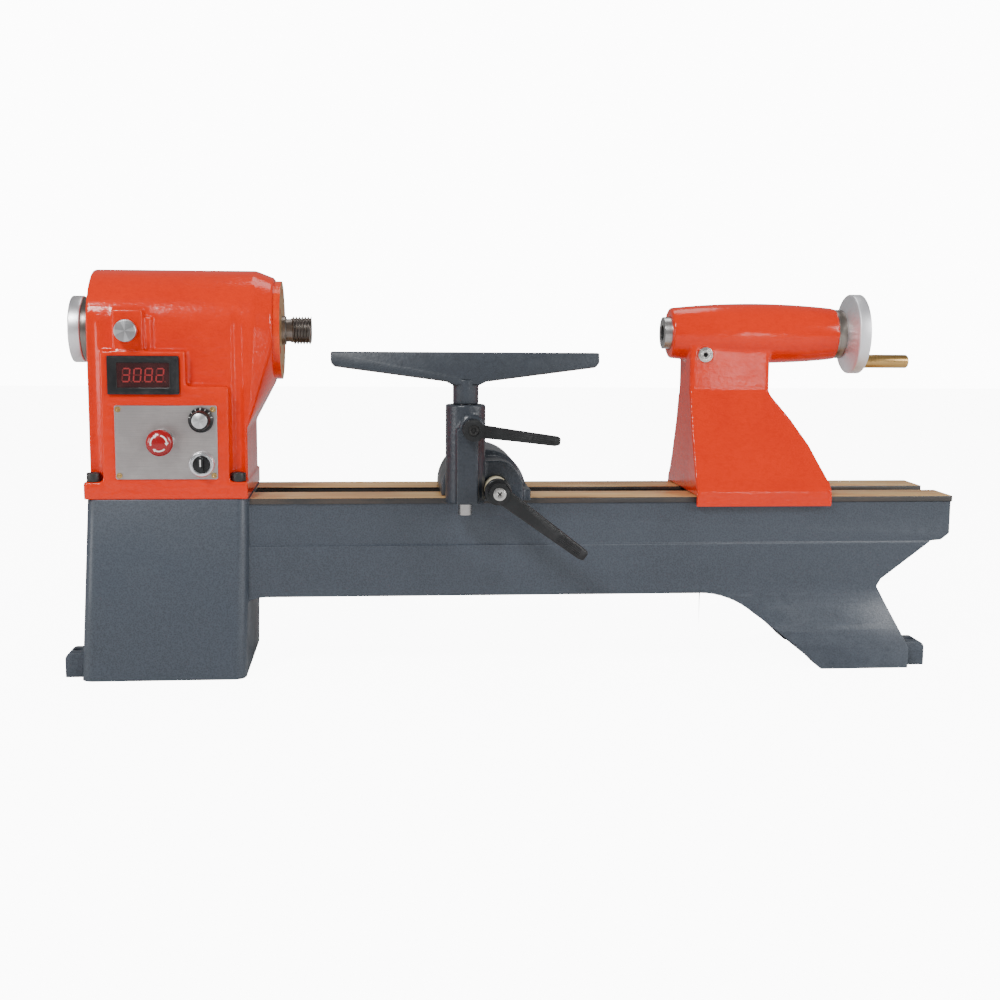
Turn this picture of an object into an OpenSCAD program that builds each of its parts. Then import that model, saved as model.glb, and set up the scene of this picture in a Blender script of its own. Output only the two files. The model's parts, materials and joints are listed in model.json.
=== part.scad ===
/* [Bed] */
// Half the distance between the bench bolts along the bed
bolt_x = 497; // [440:1:600]
// Half the distance between the bench bolts across the bed
bolt_y = 61; // [55:1:64]
// Diameter of the bench bolt holes
bench_hole_d = 11; // [8:0.5:13]
// How far the ways run past the right bench bolts
end_overhang = 39; // [30:1:45]
// Height of the ways above the bench
bed_top = 207; // [205:1:250]
// Width across both ways
bed_w = 154; // [150:1:160]
// Gap between the ways
slot_w = 42; // [35:1:51]
// Height of the machined edge of the ways
way_t = 7; // [5:0.5:9]
// How far the ways stand out past the painted side
way_lip = 2; // [1:0.5:3]
// Depth of the bed beam below the top of the ways
beam_h = 116; // [104:1:118]
// Thickness of each way at the slot
way_flange = 24; // [18:1:28]
// Thickness of the bed's side walls
bed_wall = 11; // [8:1:13]
// Depth of the step line on the side below the ways
step_drop = 55; // [48:1:62]
// Height of the bolting lugs
lug_h = 29; // [20:1:32]
// Width of each bolting lug
lug_w = 36; // [30:1:38]

/* [Headstock leg] */
// Length of the leg at its top
leg_l = 182; // [180:1:186]
// Depth of the leg from front to back at its top
leg_d_top = 169.4; // [169:0.2:172]
// Depth of the leg from front to back at the bench
leg_d_foot = 199; // [190:1:205]
// How much longer the leg is at the bench, on its left side
leg_draft_l = 9; // [6:1:10]
// How much the right side leans in at the bench
leg_draft_r = 5; // [3:1:6]
// Wall thickness of the leg
leg_wall = 9; // [7:0.5:10]
// Corner radius of the leg
leg_corner = 14; // [12:1:18]

/* [Headstock] */
// Height of the spindle axis above the ways
swing_r = 190; // [183:1:230]
// Radius of the headstock barrel
head_r = 69; // [67:0.5:70]
// Length of the headstock body
head_l = 177.5; // [176:0.5:180]
// Wall thickness of the headstock
head_wall = 8; // [6:0.5:9]
// Depth of the base flange from front to back
flange_d = 170; // [168:0.5:172]
// Thickness of the base flange
flange_t = 20; // [16:1:22]
// Radius of the nose face
nose_r = 57.4; // [56:0.2:60]
// Distance from the body to the nose face
nose_l = 37; // [36:0.5:40]

/* [Spindle] */
// Outer diameter of the nose thread
thread_d = 33; // [30:0.5:34]
// Length of the nose thread
thread_l = 24.4; // [20:0.2:30]
// Diameter of the front bearing seat
front_journal_d = 30; // [25:0.5:32]
// Diameter of the rear bearing seat
rear_journal_d = 25; // [21:0.5:27]
// Mouth diameter of the taper sockets
taper_d = 17.78; // [17:0.01:18]
// Length of the taper sockets
taper_l = 64; // [60:1:66]
// Radius of the spindle handwheel
wheel_r = 38.7; // [36:0.1:42]
// Diameter of the large pulley step
pulley_d = 62; // [56:1:66]
// Number of index positions
index_count = 24; // [12:12:24]

/* [Controls] */
// Width of the control panel
panel_w = 113.5; // [108:0.5:118]
// Height of the control panel
panel_h = 83.7; // [80:0.1:86]
// Width of the display bezel
bezel_w = 79; // [76:0.5:82]
// Height of the display bezel
bezel_h = 43; // [40:0.5:44]
// Diameter of the emergency stop button
estop_d = 30; // [26:0.5:34]
// Diameter of the speed knob
knob_d = 28.4; // [24:0.2:30]
// Diameter of the selector bezel
selector_d = 29.4; // [26:0.2:30]

/* [Motor] */
// Diameter of the motor
motor_d = 104; // [90:1:108]
// Length of the motor
motor_l = 110; // [90:1:114]
// Height of the motor axis above the bench
motor_z = 110; // [100:1:120]
// Diameter of the small motor pulley step
motor_pulley_d = 34; // [30:1:38]

/* [Banjo] */
// Place of the banjo's clamp bolt along the bed
banjo_x = -17; // [-25:1:20]
// Height of the cam shaft above the ways
cam_h = 15; // [14.5:0.1:17]
// Diameter of the cam shaft
cam_d = 16; // [14:0.5:17]
// Diameter of the tool rest post
post_d = 16; // [13.3:0.1:19.2]
// Outer diameter of the post socket
socket_d = 45; // [42:0.5:48]
// Height of the post socket
socket_h = 111; // [100:1:120]
// Length of the tool rest
rest_l = 300; // [250:1:320]
// Height of the tool rest's working edge above the ways
rest_top = 169; // [162:1:175]
// Length of the cam lever
lever_l = 121; // [100:1:126]
// Length of the rest lock lever
lock_l = 97; // [80:1:100]

/* [Tailstock] */
// Distance from the bed's right end to the tailstock's centre
tail_back = 232; // [225:1:260]
// Length of the tailstock base
tail_l = 162; // [150:1:166]
// Radius of the tailstock barrel at its middle
barrel_r = 36; // [34:0.5:40]
// Diameter of the quill
quill_d = 38.3; // [32:0.1:46]
// Length of the quill
quill_l = 166; // [150:1:170]
// Travel of the quill
quill_travel = 57; // [40:1:60]
// Diameter of the feed screw
screw_d = 14; // [12:0.5:16]
// Radius of the tail handwheel
tail_wheel_r = 48.1; // [44:0.1:52]
// Diameter of the crank handle
crank_d = 16.5; // [14:0.5:18]

/* [Fits] */
// Radial clearance of a turning or sliding fit
run = 0.06; // [0.03:0.01:0.1]
// Radial clearance of a seated fit
seat = 0.02; // [0.01:0.01:0.05]
// Gap between a casting and the ways it slides on
slide_gap = 0.2; // [0.1:0.05:0.4]

/* [Hidden] */
$fn = 64;
eps = 0.5;

orange = "#dc4b14";
blue_grey = "#414b55";
iron = "#c8a57d";
steel = "#b4b4b6";
dark_steel = "#5c5650";
black = "#1e1e20";
alloy = "#c8cacc";
brass = "#c8963c";

bed_end = bolt_x + end_overhang;
half_bed = bed_w / 2;
side_y = half_bed - way_lip;
half_slot = slot_w / 2;
beam_z = bed_top - beam_h;
step_z = bed_top - step_drop;
flange_z = bed_top - way_flange;

leg_x0 = 18 - bolt_x;
leg_x1 = leg_x0 + leg_l;
leg_mid = (leg_x0 + leg_x1) / 2;
leg_top_t = 12;
leg_tilt = atan((leg_d_foot - leg_d_top) / 2 / bed_top);
cover_z = 100;
cover_y = leg_d_foot / 2 - cover_z * tan(leg_tilt);

spindle_z = bed_top + swing_r;
head_x0 = leg_x0 + 2.5;
head_x1 = head_x0 + head_l;
barrel_x1 = head_x1 + 8;
nose_x = head_x1 + nose_l;
cap_t = 8;
front_y = -flange_d / 2;
channel_r = 10.4;
head_bolt_x = [head_x0 + 6, head_x1 - 9.6];
head_bolt_y = flange_d / 2 - 8.6;
mount_bolt_r = 5;
mount_head_r = 8;

front_bearing = [front_journal_d / 2, 31, 16, 23, 4.75];
rear_bearing = [rear_journal_d / 2, 26, 15, 19.5, 3.95];
front_bearing_x = nose_x - cap_t - front_bearing[2] - 0.5;
rear_bearing_x = head_x0 + 2.5;
pulley_x = head_x0 + 19.5;
step_w = 11;
belt_cover_x = pulley_x + 34;
belt_cover_z = bed_top + 94;
cap_bolt_r = 44;
index_x = pulley_x + 2 * step_w + 7.3;
index_r = 44;
small_step_r = 24;
pulley_r = pulley_d / 2;
belt_t = 3.6;
belt_gap = 0.3;

panel_x = head_x0 + 89;
panel_z = bed_top + 65;
panel_t = 1.5;
panel_y = front_y - panel_t;
screw_dx = panel_w / 2 - 4.2;
screw_dz = panel_h / 2 - 4.4;
estop_x = panel_x - 4.9;
estop_z = panel_z + 1.3;
knob_x = panel_x + 39;
knob_z = panel_z + 25.5;
selector_z = panel_z - 24.5;
display_x = head_x0 + 65.3;
display_z = spindle_z - 49.3;
boss_x0 = panel_x - 71.5;
boss_x1 = panel_x + 69.5;
boss_z = panel_z + 63;
display_boss_x1 = display_x + 46;
index_boss_w = 33;
index_y = front_y + 2;
button_hole_r = 11.25;

motor_x0 = index_x - 0.3;
bracket_t = 5;
motor_r = motor_d / 2;
motor_pulley_r = motor_pulley_d / 2;
motor_bolt_x = [motor_x0 + 10, motor_x0 + 35];
motor_bolt_y = 38;

cam_z = bed_top + cam_h;
hump_r = 32;
bush_y = -125;
bush_r = cam_h - 1;
post_x = banjo_x - 35;
post_y = -115;
socket_r = socket_d / 2;
socket_top = bed_top + socket_h;
post_r = post_d / 2;
lock_x = post_x + 6.5;
lock_z = bed_top + 84.6;
lock_y = post_y - socket_r - 2;
lock_angle = -7.5;
lever_angle = -36.5;
banjo_floor = bed_top + slide_gap;
plate_t = 11;
plate_gap = 0.5;
clamp_r = 5;
rest_z = bed_top + rest_top;
rest_lean = 12;
blade_t = 9;
neck_r = 14.4;

tail_x = bed_end - tail_back;
tail_x0 = tail_x - tail_l / 2;
barrel_x0 = tail_x0 - 21;
barrel_end = barrel_x0 + 203;
neck_half = 30;
tail_cam_z = bed_top + 28;
quill_x0 = barrel_x0 - 8;
quill_r = quill_d / 2;
screw_r = screw_d / 2;
collar_w = 10;
collar_r = 29.5;
wheel_x0 = barrel_end + collar_w + 0.4;
rim_w = 13.6;
cone_w = 9.6;
crank_r = 33;
crank_l = 62;
lock_shaft_z = spindle_z - quill_r - 5.9;
lock_shaft_x = barrel_x0 + 38.5;

// A cylinder along X, Y or Z, from one end to the other
module rod_x(x0, x1, r, y = 0, z = 0) {
  translate([x0, y, z]) rotate([0, 90, 0]) cylinder(h = x1 - x0, r = r);
}
module rod_y(y0, y1, r, x = 0, z = 0) {
  translate([x, y0, z]) rotate([-90, 0, 0]) cylinder(h = y1 - y0, r = r);
}
module rod_z(z0, z1, r, x = 0, y = 0) {
  translate([x, y, z0]) cylinder(h = z1 - z0, r = r);
}
module box(x0, x1, y0, y1, z0, z1) {
  translate([x0, y0, z0]) cube([x1 - x0, y1 - y0, z1 - z0]);
}
// A side outline in X and Z, given depth along Y
module along_y(y0, y1) {
  translate([0, y1, 0]) rotate([90, 0, 0]) linear_extrude(y1 - y0) children();
}
// A cross section in Y and Z, given length along X
module along_x(x0, x1) {
  translate([x0, 0, 0]) rotate([90, 0, 90]) linear_extrude(x1 - x0) children();
}
// A profile of radius and distance along X, turned about an X axis
module turn_x(y = 0, z = 0) {
  translate([0, y, z]) rotate([0, 90, 0]) rotate_extrude() children();
}
// A profile of radius and distance along Y, turned about a Y axis
module turn_y(x = 0, z = 0) {
  translate([x, 0, z]) rotate([-90, 0, 0]) rotate_extrude() children();
}
// A rectangle with round corners, centred
module round_rect(w, h, r) {
  square([w - 2 * r, h], center = true);
  square([w, h - 2 * r], center = true);
  for (sx = [-1, 1], sy = [-1, 1]) translate([sx * (w / 2 - r), sy * (h / 2 - r)]) circle(r);
}
// A socket head screw along -Z, its head's seat at the origin
module socket_screw(r, l, head_r, head_h) {
  difference() {
    union() {
      cylinder(h = head_h, r = head_r);
      translate([0, 0, -l]) cylinder(h = l + eps, r = r);
    }
    translate([0, 0, head_h * 0.45]) cylinder(h = head_h, r = head_r * 0.58, $fn = 6);
  }
}
function arc_points(cx, cy, r, a0, a1, n) =
  [for (i = [0:n]) [cx + r * cos(a0 + (a1 - a0) * i / n), cy + r * sin(a0 + (a1 - a0) * i / n)]];
function curve_points(p0, p1, p2, n) =
  [for (i = [1:n]) let (t = i / n) (1 - t) * (1 - t) * p0 + 2 * t * (1 - t) * p1 + t * t * p2];

// Both halves of the beam's cross section
module beam_section() {
  for (s = [-1, 1]) scale([s, 1]) polygon([
    [half_slot, bed_top], [half_bed, bed_top], [half_bed, bed_top - way_t], [side_y, bed_top - way_t],
    [side_y, step_z], [half_bed, step_z - 2], [half_bed, beam_z], [half_bed - bed_wall, beam_z],
    [half_bed - bed_wall, flange_z], [half_slot, flange_z]
  ]);
}
foot_r = bolt_x - 13;
foot_l = foot_r - 107;
arc_x = foot_l - 147;
arc_r = 100;
waist = [foot_r - 37, beam_z + 6];
foot_spread = 16;
foot_flare_z = [beam_z + 6, 24];
foot_flare = concat(
  [[half_bed, waist[1] + 4]],
  [for (i = [0:12]) let (t = i / 12)
    [half_bed + foot_spread * t * t * (3 - 2 * t), foot_flare_z[0] + (foot_flare_z[1] - foot_flare_z[0]) * t]],
  [[half_bed + foot_spread, 0]]
);
module foot_side() {
  arc_end = [arc_x + arc_r * cos(50), beam_z - arc_r + arc_r * sin(50)];
  polygon(concat(
    [[arc_x, beam_z + 8]],
    arc_points(arc_x, beam_z - arc_r, arc_r, 90, 50, 8),
    curve_points(arc_end, [foot_l - 25, 26], [foot_l, 0], 8),
    [[foot_r, 0], [foot_r, 24], [waist[0] + 4, waist[1] - 7], waist, [waist[0] + 5, waist[1] + 9]]
  ));
}
module foot_cavity() {
  polygon([
    [foot_l + 13, -1], [foot_r - 10, -1], [foot_r - 10, 22], [waist[0] - 9, waist[1] - 10],
    [waist[0] - 9, beam_z + 20], [arc_x + 34, beam_z + 20], [arc_x + 70, beam_z - 11], [foot_l - 42, 56]
  ]);
}
module both_sides(points, inset = 0) {
  polygon(concat(
    [for (p = points) [p[0] - inset, p[1]]],
    [for (i = [len(points) - 1:-1:0]) [inset - points[i][0], points[i][1]]]
  ));
}
module leg_block() {
  hull() for (s = [-1, 1]) {
    for (x = [leg_left(0) + leg_corner, leg_right(0) - leg_corner])
      translate([x, s * (leg_half(0) - leg_corner), 0]) cylinder(h = 0.01, r = leg_corner, $fn = 48);
    for (x = [leg_left(bed_top) + leg_corner, leg_right(bed_top) - leg_corner])
      translate([x, s * (leg_half(bed_top) - leg_corner), bed_top - 0.01])
        cylinder(h = 0.01, r = leg_corner, $fn = 48);
  }
}
function leg_left(z) = leg_x0 - leg_draft_l * (1 - z / bed_top);
function leg_right(z) = leg_x1 - leg_draft_r * (1 - z / bed_top);
function leg_half(z) = leg_d_foot / 2 - (leg_d_foot - leg_d_top) / 2 * z / bed_top;
module leg_cavity() {
  z0 = -10;
  z1 = bed_top - leg_top_t;
  intersection() {
    along_y(-leg_d_foot, leg_d_foot) polygon([
      [leg_left(z0) + leg_wall, z0], [leg_right(z0) - leg_wall, z0],
      [leg_right(z1) - leg_wall, z1], [leg_left(z1) + leg_wall, z1]
    ]);
    along_x(leg_x0 - 20, leg_x1 + 20)
      both_sides([[leg_half(z0) - leg_wall, z0], [leg_half(z1) - leg_wall, z1]]);
  }
}
module lug(side) {
  reach = 12;
  depth = side < 0 ? 20 : 24;
  for (s = [-1, 1]) difference() {
    translate([side * bolt_x, s * bolt_y, 0]) scale([side, 1]) along_y(-lug_w / 2, lug_w / 2) {
      translate([-depth, 0]) square([depth + reach - 8, lug_h]);
      translate([-depth, 0]) square([depth + reach, lug_h - 8]);
      translate([reach - 8, lug_h - 8]) circle(8);
    }
    rod_z(-1, lug_h + 1, bench_hole_d / 2, side * bolt_x, s * bolt_y);
  }
}
module bed() {
  color(blue_grey) difference() {
    union() {
      leg_block();
      intersection() {
        along_x(leg_x1 - 12, bed_end) beam_section();
        along_y(-half_bed - 1, half_bed + 1) polygon([
          [leg_x1 - 13, beam_z - 1], [waist[0], beam_z - 1], waist, [waist[0] + 5, waist[1] + 9],
          [bed_end - 24, step_z], [bed_end - 11, step_z + 1], [bed_end - 1, step_z + 9],
          [bed_end - 1, bed_top - way_t], [bed_end, bed_top - way_t], [bed_end, bed_top + 1],
          [leg_x1 - 13, bed_top + 1]
        ]);
      }
      // fillet between the leg and the underside of the beam
      along_y(-half_bed, half_bed) difference() {
        translate([leg_x1 - 8, beam_z - 7]) square([26, 7]);
        translate([leg_x1 + 18, beam_z - 50]) circle(50);
      }
      intersection() {
        along_y(-half_bed - 17, half_bed + 17) foot_side();
        along_x(arc_x - 1, foot_r + 1) both_sides(foot_flare);
      }
      // cross ribs that tie the side walls below the slot
      for (x = [leg_x1 + 120, leg_x1 + 330, waist[0] - 8])
        box(x, x + 8, -half_bed + 2, half_bed - 2, beam_z, step_z - 8);
      lug(-1);
      lug(1);
    }
    leg_cavity();
    intersection() {
      along_y(-half_bed - 17, half_bed + 17) foot_cavity();
      along_x(arc_x, foot_r + 1) both_sides(foot_flare, bed_wall);
    }
    // shallow arches between the foot's pads
    box(arc_x, foot_r + 1, -56, 56, -1, 9);
    // belt opening below the headstock
    box(pulley_x - 5, pulley_x + 2 * step_w - 5, -42, 42, bed_top - leg_top_t - 1, bed_top + 1);
    for (x = head_bolt_x, s = [-1, 1])
      rod_z(bed_top - 16, bed_top + 1, mount_bolt_r + seat, x, s * head_bolt_y);
    for (x = motor_bolt_x, s = [-1, 1])
      rod_z(bed_top - leg_top_t - 1, bed_top + 1, mount_bolt_r + seat, x, s * motor_bolt_y);
    on_leg_back() {
      box(-56, 56, -leg_wall * 2, 1, -61, 61);
      for (x = [-1, 1], z = [-1, 1]) rod_y(-7, 1, 2 + seat, x * 60.5, z * 65.5);
    }
  }
}
// Places a piece on the sloping back of the leg: outwards is +Y
module on_leg_back() {
  translate([leg_mid, cover_y, cover_z]) rotate([leg_tilt, 0, 0]) children();
}

module head_outer() {
  box(head_x0 - 4.5, head_x1 + 1, front_y, -front_y, bed_top, bed_top + flange_t);
  along_x(head_x0, head_x1) {
    translate([0, spindle_z]) circle(head_r);
    translate([-head_r, bed_top]) square([2 * head_r, swing_r]);
  }
  // cone of the nose, carried down onto the body
  hull() {
    rod_x(head_x1 - 1, barrel_x1, head_r, 0, spindle_z, $fn = 64);
    rod_x(nose_x - cap_t - 1, nose_x - cap_t, nose_r + 3.4, 0, spindle_z, $fn = 64);
    box(head_x1 - 2, head_x1, -head_r, head_r, spindle_z - 110, spindle_z);
  }
  box(boss_x0, boss_x1, front_y, -60, bed_top, boss_z);
  box(boss_x0, display_boss_x1, front_y, -60, bed_top, display_z + bezel_h / 2 + 5);
  box(index_x - index_boss_w / 2, index_x + index_boss_w / 2, index_y, -50, display_z, spindle_z + 23.5);
  // sloped shoulder beside the index boss
  along_x(index_x, index_x + index_boss_w / 2 + 9)
    polygon([[-50, spindle_z - 22], [index_y + 7, spindle_z - 22], [index_y + 7, spindle_z + 14], [-50, spindle_z + 22]]);
}
module head_cavity() {
  along_x(head_x0 + head_wall, head_x1 - head_wall) {
    translate([0, spindle_z]) circle(head_r - head_wall);
    translate([head_wall - head_r, bed_top - 1]) square([2 * (head_r - head_wall), swing_r]);
  }
  box(boss_x0 + head_wall, boss_x1 - head_wall, front_y + head_wall, -58, bed_top - 1, boss_z - head_wall);
  box(boss_x0 + head_wall, display_boss_x1 - 5, front_y + 5, -58, bed_top, display_z + 19.75);
}
module headstock_housing() {
  color(orange) difference() {
    union() {
      difference() {
        head_outer();
        head_cavity();
      }
      rod_x(head_x0 + 1, rear_bearing_x + rear_bearing[2], rear_bearing[1] + 9, 0, spindle_z);
    }
    // openings for the display and the switches
    box(display_x - 37.75, display_x + 37.75, front_y - 1, -58, display_z - 19.75, display_z + 19.75);
    rod_y(front_y - 1, -58, 14, estop_x, estop_z);
    rod_y(front_y - 1, -58, 14, knob_x, selector_z);
    rod_y(front_y - 1, -58, 12.5, knob_x, knob_z);
    for (x = [-1, 1], z = [-1, 1])
      rod_y(front_y - 1, front_y + 9, 1.6 + seat, panel_x + x * screw_dx, panel_z + z * screw_dz);
    // channels above the mounting bolts
    for (x = head_bolt_x, s = [-1, 1]) {
      rod_z(bed_top + flange_t, spindle_z + head_r, channel_r, x, s * head_bolt_y);
      rod_z(bed_top - 1, bed_top + flange_t + 1, mount_bolt_r + seat, x, s * head_bolt_y);
    }
    // bearing seats, and the way through for the spindle
    rod_x(head_x0 - 1, head_x0 + 20, 18, 0, spindle_z);
    rod_x(rear_bearing_x, head_x0 + 20, rear_bearing[1] + seat, 0, spindle_z);
    rod_x(head_x1 - head_wall - 1, nose_x, 25, 0, spindle_z);
    rod_x(front_bearing_x, nose_x, front_bearing[1] + seat, 0, spindle_z);
    for (a = [0:60:300]) rotate_about_spindle(a + 30)
      rod_x(nose_x - cap_t - 14, nose_x, 2.5 + seat, cap_bolt_r);
    rod_y(index_y - 1, -40, 7 + seat, index_x, spindle_z);
    // belt opening on the back
    box(pulley_x - 6, pulley_x + 74, head_r - head_wall - 1, head_r + 1, bed_top + 40, bed_top + 148);
    for (x = [-1, 1], z = [-1, 1])
      rod_y(head_r - 6, head_r + 1, 2 + seat, belt_cover_x + x * 44, belt_cover_z + z * 59);
  }
}
module rotate_about_spindle(a) {
  translate([0, 0, spindle_z]) rotate([a, 0, 0]) children();
}
module mounting_bolts() {
  color(black) {
    for (x = head_bolt_x, s = [-1, 1]) translate([x, s * head_bolt_y, bed_top + flange_t])
      socket_screw(mount_bolt_r, 35, mount_head_r, 10);
    for (x = motor_bolt_x, s = [-1, 1]) translate([x, s * motor_bolt_y, bed_top - leg_top_t - 6])
      rotate([180, 0, 0]) socket_screw(mount_bolt_r, 16, mount_head_r, 10);
  }
}
module bearing_cap() {
  color(iron) difference() {
    rod_x(nose_x - cap_t, nose_x, nose_r, 0, spindle_z);
    rod_x(nose_x - cap_t - 1, nose_x + 1, thread_d / 2 + 0.4 + 0.3, 0, spindle_z);
    for (a = [0:60:300]) rotate_about_spindle(a + 30) {
      rod_x(nose_x - cap_t - 1, nose_x + 1, 2.5 + seat, cap_bolt_r);
      rod_x(nose_x - 5.5, nose_x + 1, 4.6, cap_bolt_r);
    }
  }
}
module bearing_cap_screws() {
  color(black) for (a = [0:60:300]) rotate_about_spindle(a + 30)
    translate([nose_x - 5.5, cap_bolt_r, 0]) rotate([0, 90, 0]) socket_screw(2.5, 14, 4.3, 5);
}
// One race: radii from r0 to r1, with a ball groove
module race(x0, w, r0, r1, pitch, ball) {
  turn_x(0, spindle_z) difference() {
    translate([r0, x0]) square([r1 - r0, w]);
    translate([pitch, x0 + w / 2]) circle(ball + 0.15);
  }
}
module bearing_outer_races() {
  color(steel) {
    race(front_bearing_x, front_bearing[2], front_bearing[3] + 2.8, front_bearing[1], front_bearing[3], front_bearing[4]);
    race(rear_bearing_x, rear_bearing[2], rear_bearing[3] + 2.3, rear_bearing[1], rear_bearing[3], rear_bearing[4]);
  }
}
module bearing_inner_races() {
  color(steel) {
    race(front_bearing_x, front_bearing[2], front_bearing[0] + seat, front_bearing[3] - 2.8, front_bearing[3], front_bearing[4]);
    race(rear_bearing_x, rear_bearing[2], rear_bearing[0] + seat, rear_bearing[3] - 2.3, rear_bearing[3], rear_bearing[4]);
  }
}
module bearing_balls() {
  color(steel) for (b = [[front_bearing, front_bearing_x], [rear_bearing, rear_bearing_x]], a = [0:40:320])
    rotate_about_spindle(a) translate([b[1] + b[0][2] / 2, b[0][3], 0]) sphere(b[0][4], $fn = 32);
}

module display_bezel() {
  color(black) translate([display_x, 0, display_z]) difference() {
    union() {
      along_y(front_y - 3.5, front_y) round_rect(bezel_w, bezel_h, 1.5);
      box(-37, 37, front_y, front_y + 22, -19, 19);
    }
    box(-29, 29, front_y - 4, front_y + 1, -14, 14);
    box(-35, 35, front_y, front_y + 23, -17, 17);
  }
}
module display_lens() {
  color([0.35, 0.02, 0.02]) translate([display_x, 0, display_z])
    box(-28.9, 28.9, front_y - 2, front_y - 0.5, -13.9, 13.9);
}
module display_board() {
  color("darkgreen") translate([display_x, 0, display_z]) {
    box(-34, 34, front_y + 8, front_y + 9.6, -16.5, 16.5);
    for (i = [0:3]) box(-24.5 + i * 12.5, -13 + i * 12.5, front_y + 1, front_y + 8, -9, 9);
  }
}
module control_panel() {
  color("#a89e94") translate([panel_x, 0, panel_z]) difference() {
    along_y(panel_y, front_y) round_rect(panel_w, panel_h, 2);
    for (x = [-1, 1], z = [-1, 1]) rod_y(panel_y - 1, front_y + 1, 1.6 + seat, x * screw_dx, z * screw_dz);
    rod_y(panel_y - 1, front_y + 1, button_hole_r, estop_x - panel_x, estop_z - panel_z);
    rod_y(panel_y - 1, front_y + 1, button_hole_r, knob_x - panel_x, selector_z - panel_z);
    rod_y(panel_y - 1, front_y + 1, 4.8, knob_x - panel_x, knob_z - panel_z);
  }
}
module panel_screws() {
  color(brass) for (x = [-1, 1], z = [-1, 1]) translate([panel_x + x * screw_dx, 0, panel_z + z * screw_dz]) {
    difference() {
      rod_y(panel_y - 1.7, panel_y, 3.2);
      box(-4, 4, panel_y - 2.5, panel_y - 0.9, -0.45, 0.45);
    }
    rod_y(panel_y - 0.1, front_y + 8, 1.6);
  }
}
module estop_body() {
  color(steel) difference() {
    union() {
      turn_y(estop_x, estop_z) polygon([
        [0, panel_y], [14.2, panel_y], [14.2, panel_y - 3], [13, panel_y - 4.5], [13, panel_y - 8], [0, panel_y - 8]
      ]);
      rod_y(panel_y - 1, -60, 11, estop_x, estop_z);
      box(estop_x - 14, estop_x + 14, -60, -38, estop_z - 14, estop_z + 14);
    }
    rod_y(panel_y - 9, -44, 5 + run, estop_x, estop_z);
  }
}
module estop_stem() {
  color(steel) rod_y(panel_y - 21, -50, 5, estop_x, estop_z);
}
module estop_button() {
  r = estop_d / 2;
  color("red") difference() {
    turn_y(estop_x, estop_z) polygon(concat(
      [[0, panel_y - 13], [r - 2, panel_y - 13], [r, panel_y - 15], [r, panel_y - 18]],
      [for (a = [15:15:90]) [r * cos(a), panel_y - 18 - 7.5 * sin(a)]]
    ));
    rod_y(panel_y - 21.1, panel_y - 12, 5 + run, estop_x, estop_z);
  }
}
module speed_pot() {
  color(dark_steel) difference() {
    union() {
      rod_y(front_y, front_y + 17, 12, knob_x, knob_z);
      rod_y(panel_y - 2, front_y + 1, 4.7, knob_x, knob_z);
      translate([knob_x, panel_y, knob_z]) rotate([90, 0, 0]) cylinder(h = 2, r = 6.5, $fn = 6);
    }
    rod_y(panel_y - 3, front_y + 14, 3 + run, knob_x, knob_z);
  }
}
module speed_knob() {
  r = knob_d / 2;
  color(black) turn_y(knob_x, knob_z) polygon([
    [0, front_y + 12], [3, front_y + 12], [3, panel_y - 2.5], [r - 0.6, panel_y - 2.5], [r, panel_y - 3.2],
    [r - 0.5, panel_y - 5.5], [r - 3, panel_y - 7], [r - 3.6, panel_y - 15.5], [r - 4.4, panel_y - 16.3],
    [0, panel_y - 16.3]
  ]);
}
module selector_switch() {
  r = selector_d / 2;
  color(alloy) difference() {
    union() {
      turn_y(knob_x, selector_z) polygon([
        [0, panel_y], [r, panel_y], [r, panel_y - 2.5], [r - 1.5, panel_y - 5], [0, panel_y - 5]
      ]);
      rod_y(panel_y - 1, -60, 11, knob_x, selector_z);
      box(knob_x - 14, knob_x + 14, -60, -40, selector_z - 15, selector_z + 15);
    }
    rod_y(panel_y - 6, panel_y - 1.5, 9.7, knob_x, selector_z);
    rod_y(panel_y - 6, -66, 4 + run, knob_x, selector_z);
  }
}
module selector_knob() {
  color(black) {
    rod_y(panel_y - 6.5, panel_y - 2, 9.3, knob_x, selector_z);
    rod_y(panel_y - 3, -67, 4, knob_x, selector_z);
    along_y(panel_y - 15, panel_y - 6) translate([knob_x, selector_z]) {
      square([5.4, 12], center = true);
      for (s = [-1, 1]) translate([0, s * 6]) circle(2.7);
    }
  }
}
module belt_cover() {
  color(orange) difference() {
    translate([belt_cover_x, 0, belt_cover_z]) along_y(head_r, head_r + 3) round_rect(98, 128, 8);
    for (x = [-1, 1], z = [-1, 1]) rod_y(head_r - 1, head_r + 4, 2 + seat, belt_cover_x + x * 44, belt_cover_z + z * 59);
  }
}
module leg_cover() {
  color(blue_grey) on_leg_back() difference() {
    along_y(0, 3) round_rect(131, 141, 8);
    for (x = [-1, 1], z = [-1, 1]) rod_y(-1, 4, 2 + seat, x * 60.5, z * 65.5);
    box(27.9, 48.1, -1, 4, -48.6, -21.4);
  }
}
module pan_screw(l) {
  difference() {
    union() {
      cylinder(h = 2.4, r = 4);
      translate([0, 0, -l]) cylinder(h = l + 0.1, r = 2);
    }
    for (a = [0, 90]) rotate(a) translate([-2.4, -0.5, 1.2]) cube([4.8, 1, 2]);
  }
}
module cover_screws() {
  color(black) {
    for (x = [-1, 1], z = [-1, 1]) translate([belt_cover_x + x * 44, head_r + 3, belt_cover_z + z * 59])
      rotate([-90, 0, 0]) pan_screw(8);
    on_leg_back() for (x = [-1, 1], z = [-1, 1]) translate([x * 60.5, 3, z * 65.5]) rotate([-90, 0, 0]) pan_screw(9);
  }
}
module speed_controller() {
  color(alloy) on_leg_back() {
    box(-52, 20, -24, 0, -50, 50);
    for (i = [0:9]) box(-50 + i * 7.4, -47.6 + i * 7.4, -32, -23, -48, 48);
  }
}
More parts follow.
